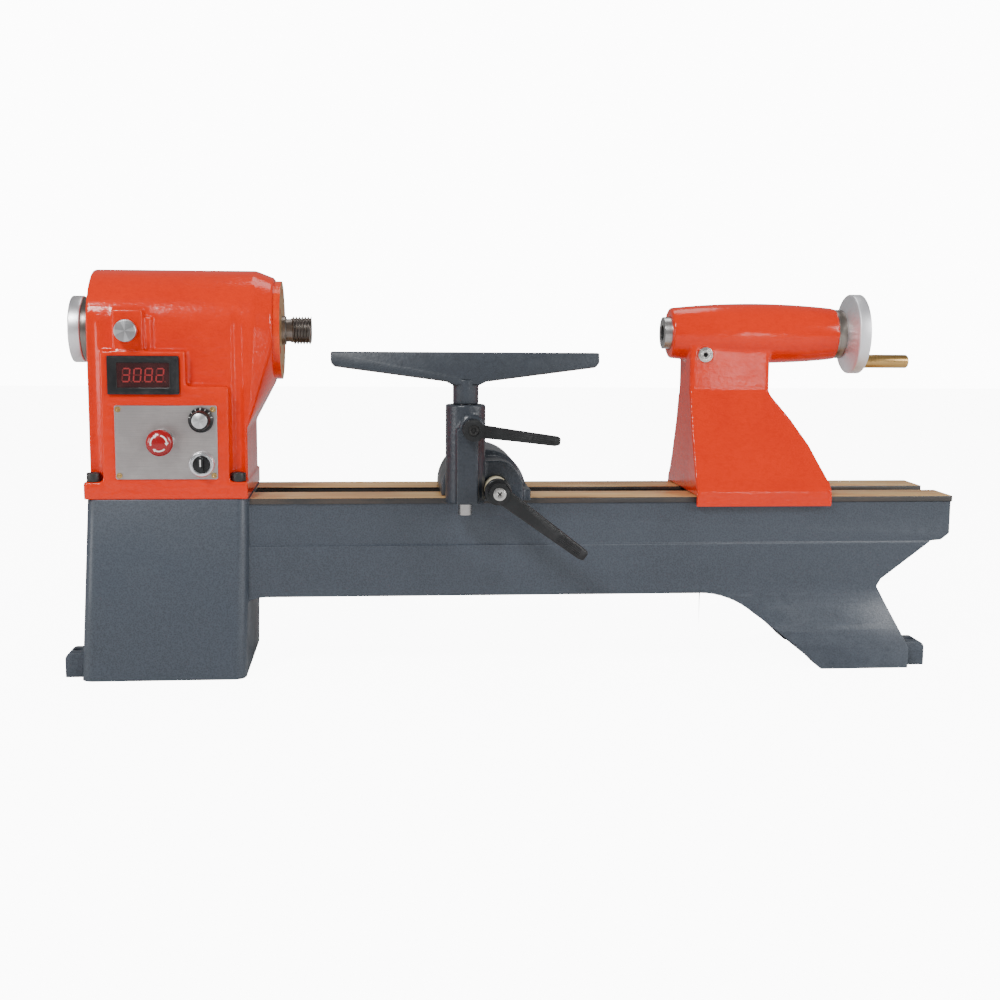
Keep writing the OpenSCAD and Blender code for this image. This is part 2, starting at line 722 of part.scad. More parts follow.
module power_inlet() {
  color(black) on_leg_back() difference() {
    union() {
      translate([38, 0, -35]) along_y(3, 6) round_rect(28, 48, 3);
      box(28, 48, -18, 4, -48.5, -21.5);
    }
    box(30, 46, -14, 7, -46.5, -23.5);
    for (z = [-55, -15]) rod_y(2, 7, 1.7, 38, z);
  }
  color(brass) on_leg_back() for (p = [[38, -28], [34.5, -41], [41.5, -41]])
    box(p[0] - 1, p[0] + 1, -16, -4, p[1] - 2, p[1] + 2);
}

// Half-angle by which the belt's strands lean, and where they leave each pulley
belt_lean = asin((pulley_r - motor_pulley_r) / (spindle_z - motor_z));
function leave_point(r, z, s) = [s * r * cos(belt_lean), z + r * sin(belt_lean)];
// The part of the belt wrapped round one pulley: up is 1 above it and -1 below it
module belt_wrap(r, z, up) {
  far = 2 * (r + belt_t);
  intersection() {
    translate([0, z]) difference() {
      circle(r + belt_t);
      circle(r);
    }
    polygon([
      [0, z], leave_point(far, z, 1), [far * cos(belt_lean), z + up * far], [-far * cos(belt_lean), z + up * far],
      leave_point(far, z, -1)
    ]);
  }
}
module drive_belt() {
  r_top = pulley_r + belt_gap;
  r_low = motor_pulley_r + belt_gap;
  color(black) along_x(pulley_x + 0.5, pulley_x + step_w - 0.5) {
    belt_wrap(r_top, spindle_z, 1);
    belt_wrap(r_low, motor_z, -1);
    for (s = [-1, 1]) polygon([
      leave_point(r_top, spindle_z, s), leave_point(r_top + belt_t, spindle_z, s),
      leave_point(r_low + belt_t, motor_z, s), leave_point(r_low, motor_z, s)
    ]);
  }
}
module motor_housing() {
  color(dark_steel) difference() {
    union() {
      rod_x(motor_x0, motor_x0 + motor_l, motor_r, 0, motor_z);
      rod_x(motor_x0 + motor_l - 1, motor_x0 + motor_l + 6, 20, 0, motor_z);
    }
    rod_x(motor_x0 + 7, motor_x0 + motor_l - 7, motor_r - 5, 0, motor_z);
    rod_x(motor_x0 - 1, motor_x0 + motor_l + 3, 7 + run, 0, motor_z);
  }
}
module motor_rotor() {
  color(steel) {
    rod_x(pulley_x - 2, motor_x0 + motor_l + 2, 7, 0, motor_z);
    rod_x(motor_x0 + 16, motor_x0 + motor_l - 18, motor_r - 9, 0, motor_z);
  }
}
module motor_pulley() {
  color(alloy) difference() {
    turn_x(0, motor_z) union() {
      translate([0, pulley_x]) square([motor_pulley_r, step_w]);
      translate([0, pulley_x + step_w]) square([small_step_r, step_w - 1]);
    }
    rod_x(pulley_x - 1, pulley_x + 30, 7 + seat, 0, motor_z);
  }
}
module motor_bracket() {
  top = bed_top - leg_top_t;
  color(dark_steel) difference() {
    union() {
      box(motor_x0 - bracket_t, motor_x0, -50, 50, motor_z - 45, top);
      box(motor_x0 - bracket_t, motor_x0 + 47, -50, 50, top - 6, top);
    }
    rod_x(motor_x0 - bracket_t - 1, motor_x0 + 1, 12, 0, motor_z);
    for (x = motor_bolt_x, s = [-1, 1]) rod_z(top - 7, top + 1, mount_bolt_r + seat, x, s * motor_bolt_y);
  }
}

module index_bush() {
  color(brass) difference() {
    union() {
      rod_y(index_y, -54, 7, index_x, spindle_z);
      rod_y(index_y - 1.5, index_y, 9, index_x, spindle_z);
    }
    rod_y(index_y - 2, -53, 3 + run, index_x, spindle_z);
    rod_y(index_y - 2, index_y + 12, 5.4, index_x, spindle_z);
  }
}
module index_spring() {
  turns = 5;
  steps = 16;
  sides = 6;
  wire = 0.7;
  coil = 4.2;
  length = 19;
  last = turns * steps;
  points = [
    for (i = [0:last], j = [0:sides - 1]) let (a = i * 360 / steps, b = j * 360 / sides, r = coil + wire * cos(b))
      [r * cos(a), r * sin(a), wire + length * i / last + wire * sin(b)]
  ];
  walls = [
    for (i = [0:last - 1], j = [0:sides - 1], half = [0, 1])
      let (p = i * sides + j, q = i * sides + (j + 1) % sides)
      half == 0 ? [p, q, q + sides] : [p, q + sides, p + sides]
  ];
  ends = [[for (j = [sides - 1:-1:0]) j], [for (j = [0:sides - 1]) last * sides + j]];
  color(steel) translate([index_x, index_y + 11.9, spindle_z]) rotate([90, 0, 0])
    polyhedron(points = points, faces = concat(walls, ends));
}
module index_pin() {
  color(alloy) turn_y(index_x, spindle_z) polygon([
    [0, -index_r - 3.5], [2, -index_r - 3.5], [3, -index_r - 5], [3, index_y - 9], [12.5, index_y - 9],
    [12.5, index_y - 16], [11.5, index_y - 17], [0, index_y - 17]
  ]);
}

module taper_socket(x0, dir) {
  turn_x(0, spindle_z) polygon([
    [0, x0 - dir], [taper_d / 2, x0 - dir], [taper_d / 2, x0], [taper_d / 2 - 1.6, x0 + dir * taper_l], [0, x0 + dir * taper_l]
  ]);
}
spindle_end = nose_x + 9.9 + thread_l;
module spindle() {
  color(dark_steel) difference() {
    turn_x(0, spindle_z) polygon([
      [0, head_x0 - 25.5], [10, head_x0 - 25.5], [10, rear_bearing_x - 0.5], [rear_bearing[0], rear_bearing_x - 0.5],
      [rear_bearing[0], rear_bearing_x + rear_bearing[2]], [14, rear_bearing_x + rear_bearing[2]],
      [14, front_bearing_x - 7], [front_bearing[0] + 3, front_bearing_x - 7], [front_bearing[0] + 3, front_bearing_x],
      [front_bearing[0], front_bearing_x], [front_bearing[0], nose_x - cap_t + 0.3],
      [thread_d / 2 + 0.4, nose_x - cap_t + 0.3], [thread_d / 2 + 0.4, nose_x + 4.6],
      [thread_d / 2 - 3, nose_x + 4.6], [thread_d / 2 - 3, nose_x + 9.9], [thread_d / 2, nose_x + 9.9],
      [thread_d / 2, spindle_end], [0, spindle_end]
    ]);
    taper_socket(spindle_end, -1);
    rod_x(head_x0 - 30, spindle_end, 5, 0, spindle_z);
  }
}
module spindle_pulley() {
  color(alloy) difference() {
    turn_x(0, spindle_z) union() {
      translate([0, pulley_x]) square([pulley_r, step_w]);
      translate([0, pulley_x + step_w]) square([small_step_r, step_w]);
      translate([0, pulley_x + 2 * step_w]) square([index_r, 14]);
    }
    rod_x(pulley_x - 1, pulley_x + 40, 14 + seat, 0, spindle_z);
    for (i = [0:index_count - 1]) rotate_about_spindle(i * 360 / index_count)
      translate([index_x, 0, 0]) rotate([90, 0, 0]) translate([0, 0, index_r - 11]) cylinder(h = 12, r = 3.4);
  }
}
module spindle_handwheel() {
  x0 = head_x0 - 26.5;
  color(alloy) difference() {
    turn_x(0, spindle_z) polygon([
      [0, x0 + 7], [14, x0 + 7], [14, x0 + 1], [17, x0 + 1], [26, x0 + 7], [wheel_r - 7, x0 + 7], [wheel_r - 4, x0],
      [wheel_r - 1, x0], [wheel_r, x0 + 1], [wheel_r, x0 + 13], [wheel_r - 1, x0 + 14], [0, x0 + 14]
    ]);
    rod_x(x0 - 1, x0 + 15, 10 + seat, 0, spindle_z);
  }
}
module handwheel_ring() {
  color(dark_steel) difference() {
    rod_x(head_x0 - 12.5, head_x0 - 3, wheel_r - 1.2, 0, spindle_z);
    rod_x(head_x0 - 13, head_x0 - 2, 10 + seat, 0, spindle_z);
  }
}

module clamp_plate(x) {
  z1 = flange_z - plate_gap;
  color(dark_steel) difference() {
    box(x - 30, x + 30, -half_slot - 13, half_slot + 13, z1 - plate_t, z1);
    rod_z(z1 - plate_t - 1, z1 + 1, clamp_r + 0.3, x, 0);
  }
}
// An eye bolt whose nut hangs below its clamp plate
module eye_bolt(x, z, bore_r) {
  z1 = flange_z - plate_gap - plate_t;
  color(steel) {
    difference() {
      union() {
        rod_y(-8, 8, bore_r + 3.5, x, z);
        rod_z(z1 - 14, z - bore_r - 1, clamp_r, x, 0);
      }
      rod_y(-9, 9, bore_r, x, z);
    }
    translate([x, 0, z1 - 9.3]) difference() {
      cylinder(h = 9, r = 9.5, $fn = 6);
      translate([0, 0, -1]) cylinder(h = 11, r = clamp_r - 0.01);
    }
  }
}
module banjo_clamp_plate() {
  clamp_plate(banjo_x);
}
module banjo_clamp_bolt() {
  eye_bolt(banjo_x, cam_z, cam_d / 2 + 2.2);
}
chamber_y0 = -72;
chamber_y1 = 32;
module banjo_casting() {
  cam_r = cam_d / 2;
  color(blue_grey) difference() {
    union() {
      // arch along the cam shaft
      intersection() {
        union() {
          rod_y(-108, chamber_y0 + 8, hump_r, banjo_x, cam_z);
          rod_y(-62, 48, 50, banjo_x - 10, bed_top + 5);
        }
        box(banjo_x - 70, banjo_x + 60, -110, 60, banjo_floor, cam_z + 80);
      }
      box(banjo_x - hump_r, banjo_x + hump_r, -108, -60, banjo_floor, cam_z);
      box(banjo_x - 45, banjo_x + 41, -104, -58, banjo_floor, banjo_floor + 13);
      // post socket, its web and the flat rib under the lock boss
      rod_z(banjo_floor, socket_top, socket_r, post_x, post_y);
      box(post_x, banjo_x, -108, -62, banjo_floor, cam_z + hump_r - 0.5);
      box(post_x - 11, post_x + 13, lock_y, post_y, banjo_floor, lock_z);
      rod_y(lock_y, post_y, 14.6, lock_x, lock_z);
    }
    // chamber for the eye bolt, open to the bed
    box(banjo_x - 16.5, banjo_x + 16.5, chamber_y0, chamber_y1, bed_top - 1, cam_z);
    rod_y(chamber_y0, chamber_y1, 16.5, banjo_x, cam_z);
    rod_y(-109, 49, cam_r + run, banjo_x, cam_z);
    rod_y(bush_y - 1, -95, bush_r + seat, banjo_x, cam_z);
    rod_z(bed_top - 1, socket_top + 1, post_r + run, post_x, post_y);
    rod_y(lock_y - 1, post_y, 5 + run, lock_x, lock_z);
  }
}
module cam_bush() {
  color("#e6e1c0") difference() {
    rod_y(bush_y, -95, bush_r, banjo_x, cam_z);
    rod_y(bush_y - 1, -94, cam_d / 2 + run, banjo_x, cam_z);
  }
}
module cam_shaft() {
  color(steel) {
    rod_y(-158, chamber_y0 + 2, cam_d / 2, banjo_x, cam_z);
    rod_y(chamber_y0 + 1, chamber_y1 - 1, cam_d / 2 + 0.5, banjo_x + 1.2, cam_z);
    rod_y(chamber_y1 - 2, 47, cam_d / 2, banjo_x, cam_z);
  }
}
// A lever arm that tapers from its hub, drawn in X and Z and turned to its angle
module lever_arm(l, w0, w1, angle) {
  rotate(angle) {
    polygon([[0, -w0 / 2], [l - w1 / 2, -w1 / 2], [l, -w1 / 2 + 2], [l, w1 / 2 - 2], [l - 2, w1 / 2], [0, w0 / 2]]);
  }
}
module banjo_lever() {
  color(black) difference() {
    union() {
      rod_y(post_y - socket_r - 1, bush_y - 0.5, banjo_x - post_x - socket_r - 0.7, banjo_x, cam_z);
      rod_y(-146, post_y - socket_r - 0.5, 15, banjo_x, cam_z);
      rod_y(-162, -145.5, 11.5, banjo_x, cam_z);
      along_y(-160, -146) translate([banjo_x, cam_z]) lever_arm(lever_l, 19, 13, lever_angle);
    }
    rod_y(-158.1, -110, cam_d / 2 + seat, banjo_x, cam_z);
    rod_y(-163, -158, 2.5 + seat, banjo_x, cam_z);
  }
}
module banjo_lever_screw() {
  color(steel) difference() {
    rod_y(-164.5, -162, 7.2, banjo_x, cam_z);
    for (a = [0, 90]) translate([banjo_x, 0, cam_z]) rotate([0, a + 45, 0]) box(-3.4, 3.4, -165.5, -163.4, -0.7, 0.7);
  }
  color(steel) rod_y(-162.1, -158, 2.5, banjo_x, cam_z);
}
module rest_lock_lever() {
  color(black) difference() {
    union() {
      rod_y(lock_y - 18, lock_y - 0.6, 12, lock_x, lock_z);
      along_y(lock_y - 17, lock_y - 6) translate([lock_x, lock_z]) lever_arm(lock_l, 14, 11, lock_angle);
    }
    rod_y(lock_y - 11, lock_y, 5 + seat, lock_x, lock_z);
    rod_y(lock_y - 19, lock_y - 10, 6.2 + seat, lock_x, lock_z);
  }
}
module rest_lock_stud() {
  color(dark_steel) difference() {
    union() {
      rod_y(lock_y - 16, lock_y - 11, 6.2, lock_x, lock_z);
      rod_y(lock_y - 11.5, post_y - post_r - 0.7, 5, lock_x, lock_z);
    }
    translate([lock_x, lock_y - 17, lock_z]) rotate([-90, 0, 0]) cylinder(h = 4, r = 3.4, $fn = 6);
  }
}
module rest_post() {
  color(steel) rod_z(bed_top - 14.5, rest_z - 42, post_r, post_x, post_y);
}
// Outline of the tool rest's blade, seen from the front
module blade_outline() {
  polygon([
    [-rest_l / 2, 0], [-rest_l / 2, -13], [4 - rest_l / 2, -17.5], [-neck_r - 8, -34], [-neck_r, -38],
    [neck_r, -38], [neck_r + 8, -34], [rest_l / 2 - 4, -17.5], [rest_l / 2, -13], [rest_l / 2, 0]
  ]);
}
module tool_rest() {
  color(blue_grey) difference() {
    union() {
      translate([post_x, post_y + 3, rest_z]) rotate([-rest_lean, 0, 0]) along_y(-blade_t, 0) blade_outline();
      rod_z(socket_top + 0.3, rest_z - 30, neck_r, post_x, post_y);
    }
    rod_z(socket_top - 1, rest_z - 41.9, post_r + run, post_x, post_y);
    box(post_x - rest_l, post_x + rest_l, post_y - 40, post_y + 60, rest_z, rest_z + 5);
  }
}

tail_neck = [
  [neck_half, spindle_z - 15], [neck_half, bed_top + 121], [neck_half + 5, bed_top + 112], [neck_half + 15, bed_top + 80],
  [neck_half + 32, bed_top + 43], [neck_half + 44, bed_top + 20], [flange_d / 2 - 2, bed_top + 10],
  [flange_d / 2, bed_top + 8], [flange_d / 2, bed_top]
];
module tail_side() {
  polygon([
    [tail_x0, bed_top], [tail_x0, spindle_z - 15], [tail_x0 + 97, spindle_z - 15], [tail_x0 + 97, bed_top + 122],
    [tail_x0 + 100, bed_top + 115], [tail_x0 + 122, bed_top + 88], [tail_x0 + 141, bed_top + 59],
    [tail_x0 + 156, bed_top + 27], [tail_x0 + tail_l, bed_top + 14], [tail_x0 + tail_l, bed_top]
  ]);
}
module barrel_profile() {
  crown_x = barrel_x0 + 105;
  crown_r = 930;
  intersection() {
    translate([0, barrel_x0]) square([barrel_r + 1, barrel_end - barrel_x0]);
    translate([barrel_r - crown_r, crown_x]) circle(crown_r, $fn = 360);
  }
}
module tailstock_body() {
  color(orange) difference() {
    union() {
      intersection() {
        along_y(-flange_d, flange_d) tail_side();
        along_x(tail_x0 - 1, tail_x0 + tail_l + 1) both_sides(tail_neck);
      }
      turn_x(0, spindle_z) barrel_profile();
      for (s = [-1, 1]) scale([1, s, 1])
        box(tail_x0, tail_x0 + tail_l, half_bed + 1.5, flange_d / 2, bed_top - 11, bed_top + 1);
    }
    box(tail_x0 - 1, tail_x0 + tail_l + 1, -half_bed - 1.5, half_bed + 1.5, bed_top - 12, banjo_floor);
    // hollow for the clamp
    box(tail_x - 34, tail_x + 34, -42, 42, bed_top, tail_cam_z + 17);
    rod_y(-52, flange_d / 2 + 1, 7 + run, tail_x, tail_cam_z);
    // quill bore and the screw's seat
    rod_x(barrel_x0 - 1, barrel_end - 14, quill_r + run, 0, spindle_z);
    rod_x(barrel_end - 15, barrel_end + 1, screw_r + 1.5, 0, spindle_z);
    rod_x(barrel_end - 8, barrel_end + 1, 14, 0, spindle_z);
    rod_y(-neck_half - 8, neck_half + 8, 5 + run, lock_shaft_x, lock_shaft_z);
  }
}
module tail_collar() {
  color(dark_steel) difference() {
    union() {
      rod_x(barrel_end, barrel_end + collar_w, collar_r, 0, spindle_z);
      rod_x(barrel_end - 4, barrel_end + 1, 14 - seat, 0, spindle_z);
    }
    rod_x(barrel_end - 5, barrel_end + collar_w + 1, screw_r + run, 0, spindle_z);
  }
}
module tailstock_clamp_plate() {
  clamp_plate(tail_x);
}
module tailstock_clamp_bolt() {
  eye_bolt(tail_x, tail_cam_z, 9.2);
}
module tailstock_cam_shaft() {
  color(steel) {
    rod_y(-51, -40, 7, tail_x, tail_cam_z);
    rod_y(-41, 41, 7.5, tail_x + 1, tail_cam_z);
    rod_y(40, flange_d / 2 + 16, 7, tail_x, tail_cam_z);
  }
}
module tailstock_lever() {
  y0 = flange_d / 2 + 1;
  color(black) difference() {
    union() {
      rod_y(y0, y0 + 20, 14, tail_x, tail_cam_z);
      along_y(y0 + 8, y0 + 19) translate([tail_x, tail_cam_z]) lever_arm(110, 18, 13, 98);
    }
    rod_y(y0 - 1, flange_d / 2 + 16.1, 7 + seat, tail_x, tail_cam_z);
  }
}
module quill() {
  color(steel) difference() {
    rod_x(quill_x0, quill_x0 + quill_l, quill_r, 0, spindle_z);
    taper_socket(quill_x0, 1);
    rod_x(quill_x0 + 60, quill_x0 + quill_l + 1, screw_r + run, 0, spindle_z);
  }
}
module feed_screw() {
  color(dark_steel) {
    rod_x(quill_x0 + taper_l + 36, wheel_x0 + 16, screw_r, 0, spindle_z);
    rod_x(barrel_end - 7.8, barrel_end - 4.2, 12, 0, spindle_z);
  }
}
wheel_dish = 6;
module tail_handwheel() {
  r = tail_wheel_r;
  x0 = wheel_x0;
  x1 = wheel_x0 + cone_w;
  color(alloy) difference() {
    turn_x(0, spindle_z) polygon([
      [0, x0], [collar_r - 0.5, x0], [r - 4.2, x1 - 1.5], [r - 1.2, x1 - 0.6], [r, x1 + 0.6], [r, x1 + rim_w - 1],
      [r - 1, x1 + rim_w], [r - 5, x1 + rim_w], [r - 8, x1 + rim_w - wheel_dish], [20, x1 + rim_w - wheel_dish],
      [17, x1 + rim_w], [0, x1 + rim_w]
    ]);
    rod_x(x0 - 1, wheel_x0 + 16.1, screw_r + seat, 0, spindle_z);
  }
  color(alloy) rod_x(x1 + rim_w - wheel_dish - 1, x1 + rim_w, crank_d / 2 + 1.5, 0, spindle_z - crank_r);
  color(alloy) rod_x(x1 + rim_w - 1, x1 + rim_w + 24, 3.5, 0, spindle_z - crank_r);
}
module crank_handle() {
  x0 = wheel_x0 + cone_w + rim_w + 0.4;
  color(brass) difference() {
    turn_x(0, spindle_z - crank_r) polygon([
      [0, x0], [crank_d / 2, x0], [crank_d / 2, x0 + crank_l - 1.5], [crank_d / 2 - 1.5, x0 + crank_l], [0, x0 + crank_l]
    ]);
    rod_x(x0 - 1, x0 + 25, 3.5 + run, 0, spindle_z - crank_r);
  }
}
module quill_lock_shaft() {
  color(steel) {
    rod_y(-neck_half - 2, neck_half + 12, 5, lock_shaft_x, lock_shaft_z);
    difference() {
      rod_y(-neck_half - 3, -neck_half - 0.6, 9, lock_shaft_x, lock_shaft_z);
      translate([lock_shaft_x, -neck_half - 3.5, lock_shaft_z]) rotate([-90, 0, 0]) cylinder(h = 1.6, r = 3, $fn = 6);
    }
  }
}
module quill_lock_lever() {
  y0 = neck_half + 1;
  color(black) difference() {
    union() {
      rod_y(y0, y0 + 16, 10, lock_shaft_x, lock_shaft_z);
      along_y(y0 + 6, y0 + 15) translate([lock_shaft_x, lock_shaft_z]) lever_arm(60, 12, 9, 70);
    }
    rod_y(y0 - 1, neck_half + 12.1, 5 + seat, lock_shaft_x, lock_shaft_z);
  }
}

bed();
headstock_housing();
mounting_bolts();
bearing_cap();
bearing_cap_screws();
bearing_outer_races();
display_bezel();
display_lens();
display_board();
control_panel();
panel_screws();
estop_body();
speed_pot();
selector_switch();
belt_cover();
cover_screws();
drive_belt();
motor_housing();
motor_bracket();
speed_controller();
leg_cover();
power_inlet();
index_bush();
index_spring();
spindle();
spindle_pulley();
spindle_handwheel();
handwheel_ring();
bearing_inner_races();
bearing_balls();
motor_rotor();
motor_pulley();
index_pin();
speed_knob();
selector_knob();
estop_stem();
estop_button();
banjo_clamp_plate();
banjo_clamp_bolt();
banjo_casting();
cam_bush();
cam_shaft();
banjo_lever();
banjo_lever_screw();
rest_lock_lever();
rest_lock_stud();
rest_post();
tool_rest();
tailstock_body();
tail_collar();
tailstock_clamp_plate();
tailstock_clamp_bolt();
tailstock_cam_shaft();
tailstock_lever();
quill();
feed_screw();
tail_handwheel();
crank_handle();
quill_lock_shaft();
quill_lock_lever();
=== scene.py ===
import json
import math

import bmesh
import bpy
from mathutils import Matrix, Vector


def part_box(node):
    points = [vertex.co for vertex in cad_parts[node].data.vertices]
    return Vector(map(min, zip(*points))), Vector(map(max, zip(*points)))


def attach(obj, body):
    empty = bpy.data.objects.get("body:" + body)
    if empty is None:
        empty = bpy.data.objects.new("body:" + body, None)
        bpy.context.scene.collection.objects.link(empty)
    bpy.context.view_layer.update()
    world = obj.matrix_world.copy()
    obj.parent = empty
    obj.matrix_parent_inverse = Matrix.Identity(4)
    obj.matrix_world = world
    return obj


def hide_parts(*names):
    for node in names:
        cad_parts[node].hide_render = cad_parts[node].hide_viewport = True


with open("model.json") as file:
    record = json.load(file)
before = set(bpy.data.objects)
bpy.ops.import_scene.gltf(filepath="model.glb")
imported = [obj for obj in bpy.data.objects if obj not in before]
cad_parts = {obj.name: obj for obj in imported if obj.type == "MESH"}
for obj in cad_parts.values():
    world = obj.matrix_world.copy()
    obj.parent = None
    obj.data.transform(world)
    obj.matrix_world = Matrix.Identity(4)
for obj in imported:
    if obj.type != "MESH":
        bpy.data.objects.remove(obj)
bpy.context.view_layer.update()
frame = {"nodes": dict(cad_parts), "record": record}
nodes = frame["nodes"]
record = frame["record"]
bodyOfNode = {node: body for body, members in record["behaviour"]["bodies"].items() for node in members}
slotOfNode = {part["node"]: part["material_slot"] for part in record["subparts"]}
mm = 0.001
print("frame loaded:", len(nodes), "nodes")


# ---- camera, floor and light

cameraSettings = {
    "place": (-0.1526, -1.6670, 0.4227),
    "forward": (0.08915, 0.98672, -0.13578),
    "right": (0.99601, -0.08888, 0.00803),
    "lens": 49.86,
    "sensor": 36.0,
}


def makeCamera(settings):
    data = bpy.data.cameras.new("camera")
    data.lens = settings["lens"]
    data.sensor_width = settings["sensor"]
    data.clip_end = 30.0
    camera = bpy.data.objects.new("camera", data)
    bpy.context.scene.collection.objects.link(camera)
    back = -Vector(settings["forward"]).normalized()
    up = back.cross(Vector(settings["right"])).normalized()
    right = up.cross(back)
    turn = Matrix((right, up, back)).transposed().to_4x4()
    camera.matrix_world = Matrix.Translation(settings["place"]) @ turn
    bpy.context.scene.camera = camera


lightSettings = {
    "world": {"colour": (1.0, 1.0, 1.0), "strength": 0.3, "seen": 12.0},
    "areas": [
        {"name": "keyLight", "place": (-1.2, -1.9, 2.0), "aim": (-0.1, 0, 0.25), "size": 0.5, "power": 50},
        {"name": "fillLight", "place": (1.9, -1.5, 1.2), "aim": (0.2, 0, 0.25), "size": 0.7, "power": 24},
        {"name": "leftLight", "place": (-2.3, -0.85, 0.55), "aim": (-0.3, 0, 0.3), "size": 0.8, "power": 12},
        {"name": "rightLight", "place": (2.3, -0.85, 0.55), "aim": (0.3, 0, 0.3), "size": 0.8, "power": 11},
        {"name": "neckPanel", "place": (0.73, -1.667, 0.315), "aim": (0.27, 0, 0.35), "size": 0.18,
         "power": 1.2},
        {"name": "topLight", "place": (0.1, 0.7, 2.3), "aim": (0, 0, 0.2), "size": 1.0, "power": 12},
    ],
    "floorSize": 12.0,
    "floorDrop": 0.0004,
    "floorGlow": 10.0,
}


def makeStudio(settings):
    world = bpy.data.worlds.new("studio")
    world.use_nodes = True
    tree = world.node_tree
    background = tree.nodes["Background"]
    background.inputs["Color"].default_value = (*settings["world"]["colour"], 1)
    # the camera sees a white backdrop, while the lathe is lit by a weaker one
    path = tree.nodes.new("ShaderNodeLightPath")
    level = tree.nodes.new("ShaderNodeMapRange")
    level.inputs["To Min"].default_value = settings["world"]["strength"]
    level.inputs["To Max"].default_value = settings["world"]["seen"]
    tree.links.new(path.outputs["Is Camera Ray"], level.inputs["Value"])
    tree.links.new(level.outputs["Result"], background.inputs["Strength"])
    bpy.context.scene.world = world
    for area in settings["areas"]:
        data = bpy.data.lights.new(area["name"], "AREA")
        data.energy = area["power"]
        data.size = area["size"]
        lamp = bpy.data.objects.new(area["name"], data)
        lamp.location = area["place"]
        aim = Vector(area["aim"]) - Vector(area["place"])
        lamp.rotation_mode = "QUATERNION"
        lamp.rotation_quaternion = aim.to_track_quat("-Z", "Y")
        bpy.context.scene.collection.objects.link(lamp)
    bm = bmesh.new()
    bmesh.ops.create_grid(bm, x_segments=1, y_segments=1, size=settings["floorSize"] / 2)
    bmesh.ops.translate(bm, verts=bm.verts, vec=(0, 0, -settings["floorDrop"]))
    mesh = bpy.data.meshes.new("floor")
    bm.to_mesh(mesh)
    bm.free()
    floor = bpy.data.objects.new("floor", mesh)
    bpy.context.scene.collection.objects.link(floor)
    paper = bpy.data.materials.new("paleFloor")
    paper.use_nodes = True
    tree = paper.node_tree
    shader = tree.nodes["Principled BSDF"]
    shader.inputs["Base Color"].default_value = (0.85, 0.85, 0.85, 1)
    shader.inputs["Roughness"].default_value = 0.9
    shader.inputs["Emission Color"].default_value = (1, 1, 1, 1)
    path = tree.nodes.new("ShaderNodeLightPath")
    glow = tree.nodes.new("ShaderNodeMath")
    glow.operation = "MULTIPLY"
    glow.inputs[1].default_value = settings["floorGlow"]
    tree.links.new(path.outputs["Is Camera Ray"], glow.inputs[0])
    tree.links.new(glow.outputs[0], shader.inputs["Emission Strength"])
    mesh.materials.append(paper)


makeCamera(cameraSettings)
makeStudio(lightSettings)
print("camera and studio made")


# ---- shader node groups, built once and placed in each material with its own values

def feed(tree, socket, value):
    if isinstance(value, bpy.types.NodeSocket):
        tree.links.new(value, socket)
    else:
        socket.default_value = value


def place(tree, kind, values=None, **attributes):
    node = tree.nodes.new(kind)
    for key, value in attributes.items():
        setattr(node, key, value)
    for key, value in (values or {}).items():
        feed(tree, node.inputs[key], value)
    return node


def noise(tree, dimensions="3D", **values):
    return place(tree, "ShaderNodeTexNoise", values, noise_dimensions=dimensions).outputs[0]


def maths(tree, operation, first, second=0.0):
    return place(tree, "ShaderNodeMath", {0: first, 1: second}, operation=operation).outputs[0]


def stretch(tree, value, low, high, newLow=0.0, newHigh=1.0):
    settings = {"Value": value, "From Min": low, "From Max": high, "To Min": newLow, "To Max": newHigh}
    return place(tree, "ShaderNodeMapRange", settings, interpolation_type="SMOOTHSTEP").outputs["Result"]


def mixColour(tree, factor, first, second):
    node = place(tree, "ShaderNodeMix", data_type="RGBA")
    for socket, value in ((node.inputs[0], factor), (node.inputs[6], first), (node.inputs[7], second)):
        feed(tree, socket, (*value, 1) if isinstance(value, tuple) else value)
    return node.outputs[2]


def addShare(tree, base, mask, share):
    return maths(tree, "ADD", base, maths(tree, "MULTIPLY", mask, share))


def tint(tree, mask, share, first, second):
    return mixColour(tree, maths(tree, "MULTIPLY", mask, share), first, second)


def makeGroup(name, inputs, outputs, build):
    tree = bpy.data.node_groups.new(name, "ShaderNodeTree")
    tree.interface.new_socket(name="Vector", in_out="INPUT", socket_type="NodeSocketVector")
    for label, value in inputs.items():
        socket = tree.interface.new_socket(name=label, in_out="INPUT", socket_type="NodeSocketFloat")
        socket.default_value = value
    for label in outputs:
        tree.interface.new_socket(name=label, in_out="OUTPUT", socket_type="NodeSocketFloat")
    start = tree.nodes.new("NodeGroupInput")
    end = tree.nodes.new("NodeGroupOutput")
    for label, socket in build(tree, start.outputs).items():
        tree.links.new(socket, end.inputs[label])
    return tree


def buildCloud(tree, given):
    cloud = noise(tree, Vector=given["Vector"], Scale=given["Scale"], Detail=4.0, Roughness=0.6)
    settings = {"Value": cloud, "From Min": given["Low"], "From Max": given["High"]}
    return {"Mask": place(tree, "ShaderNodeMapRange", settings,
                          interpolation_type="SMOOTHSTEP").outputs["Result"]}


def buildPeel(tree, given):
    wide = noise(tree, Vector=given["Vector"], Scale=given["Scale"], Detail=1.5, Roughness=0.4)
    fine = noise(tree, Vector=given["Vector"], Scale=maths(tree, "MULTIPLY", given["Scale"], 3.7), Detail=2.0)
    parts = (maths(tree, "MULTIPLY", wide, 0.75), maths(tree, "MULTIPLY", fine, 0.25))
    return {"Height": maths(tree, "ADD", *parts)}


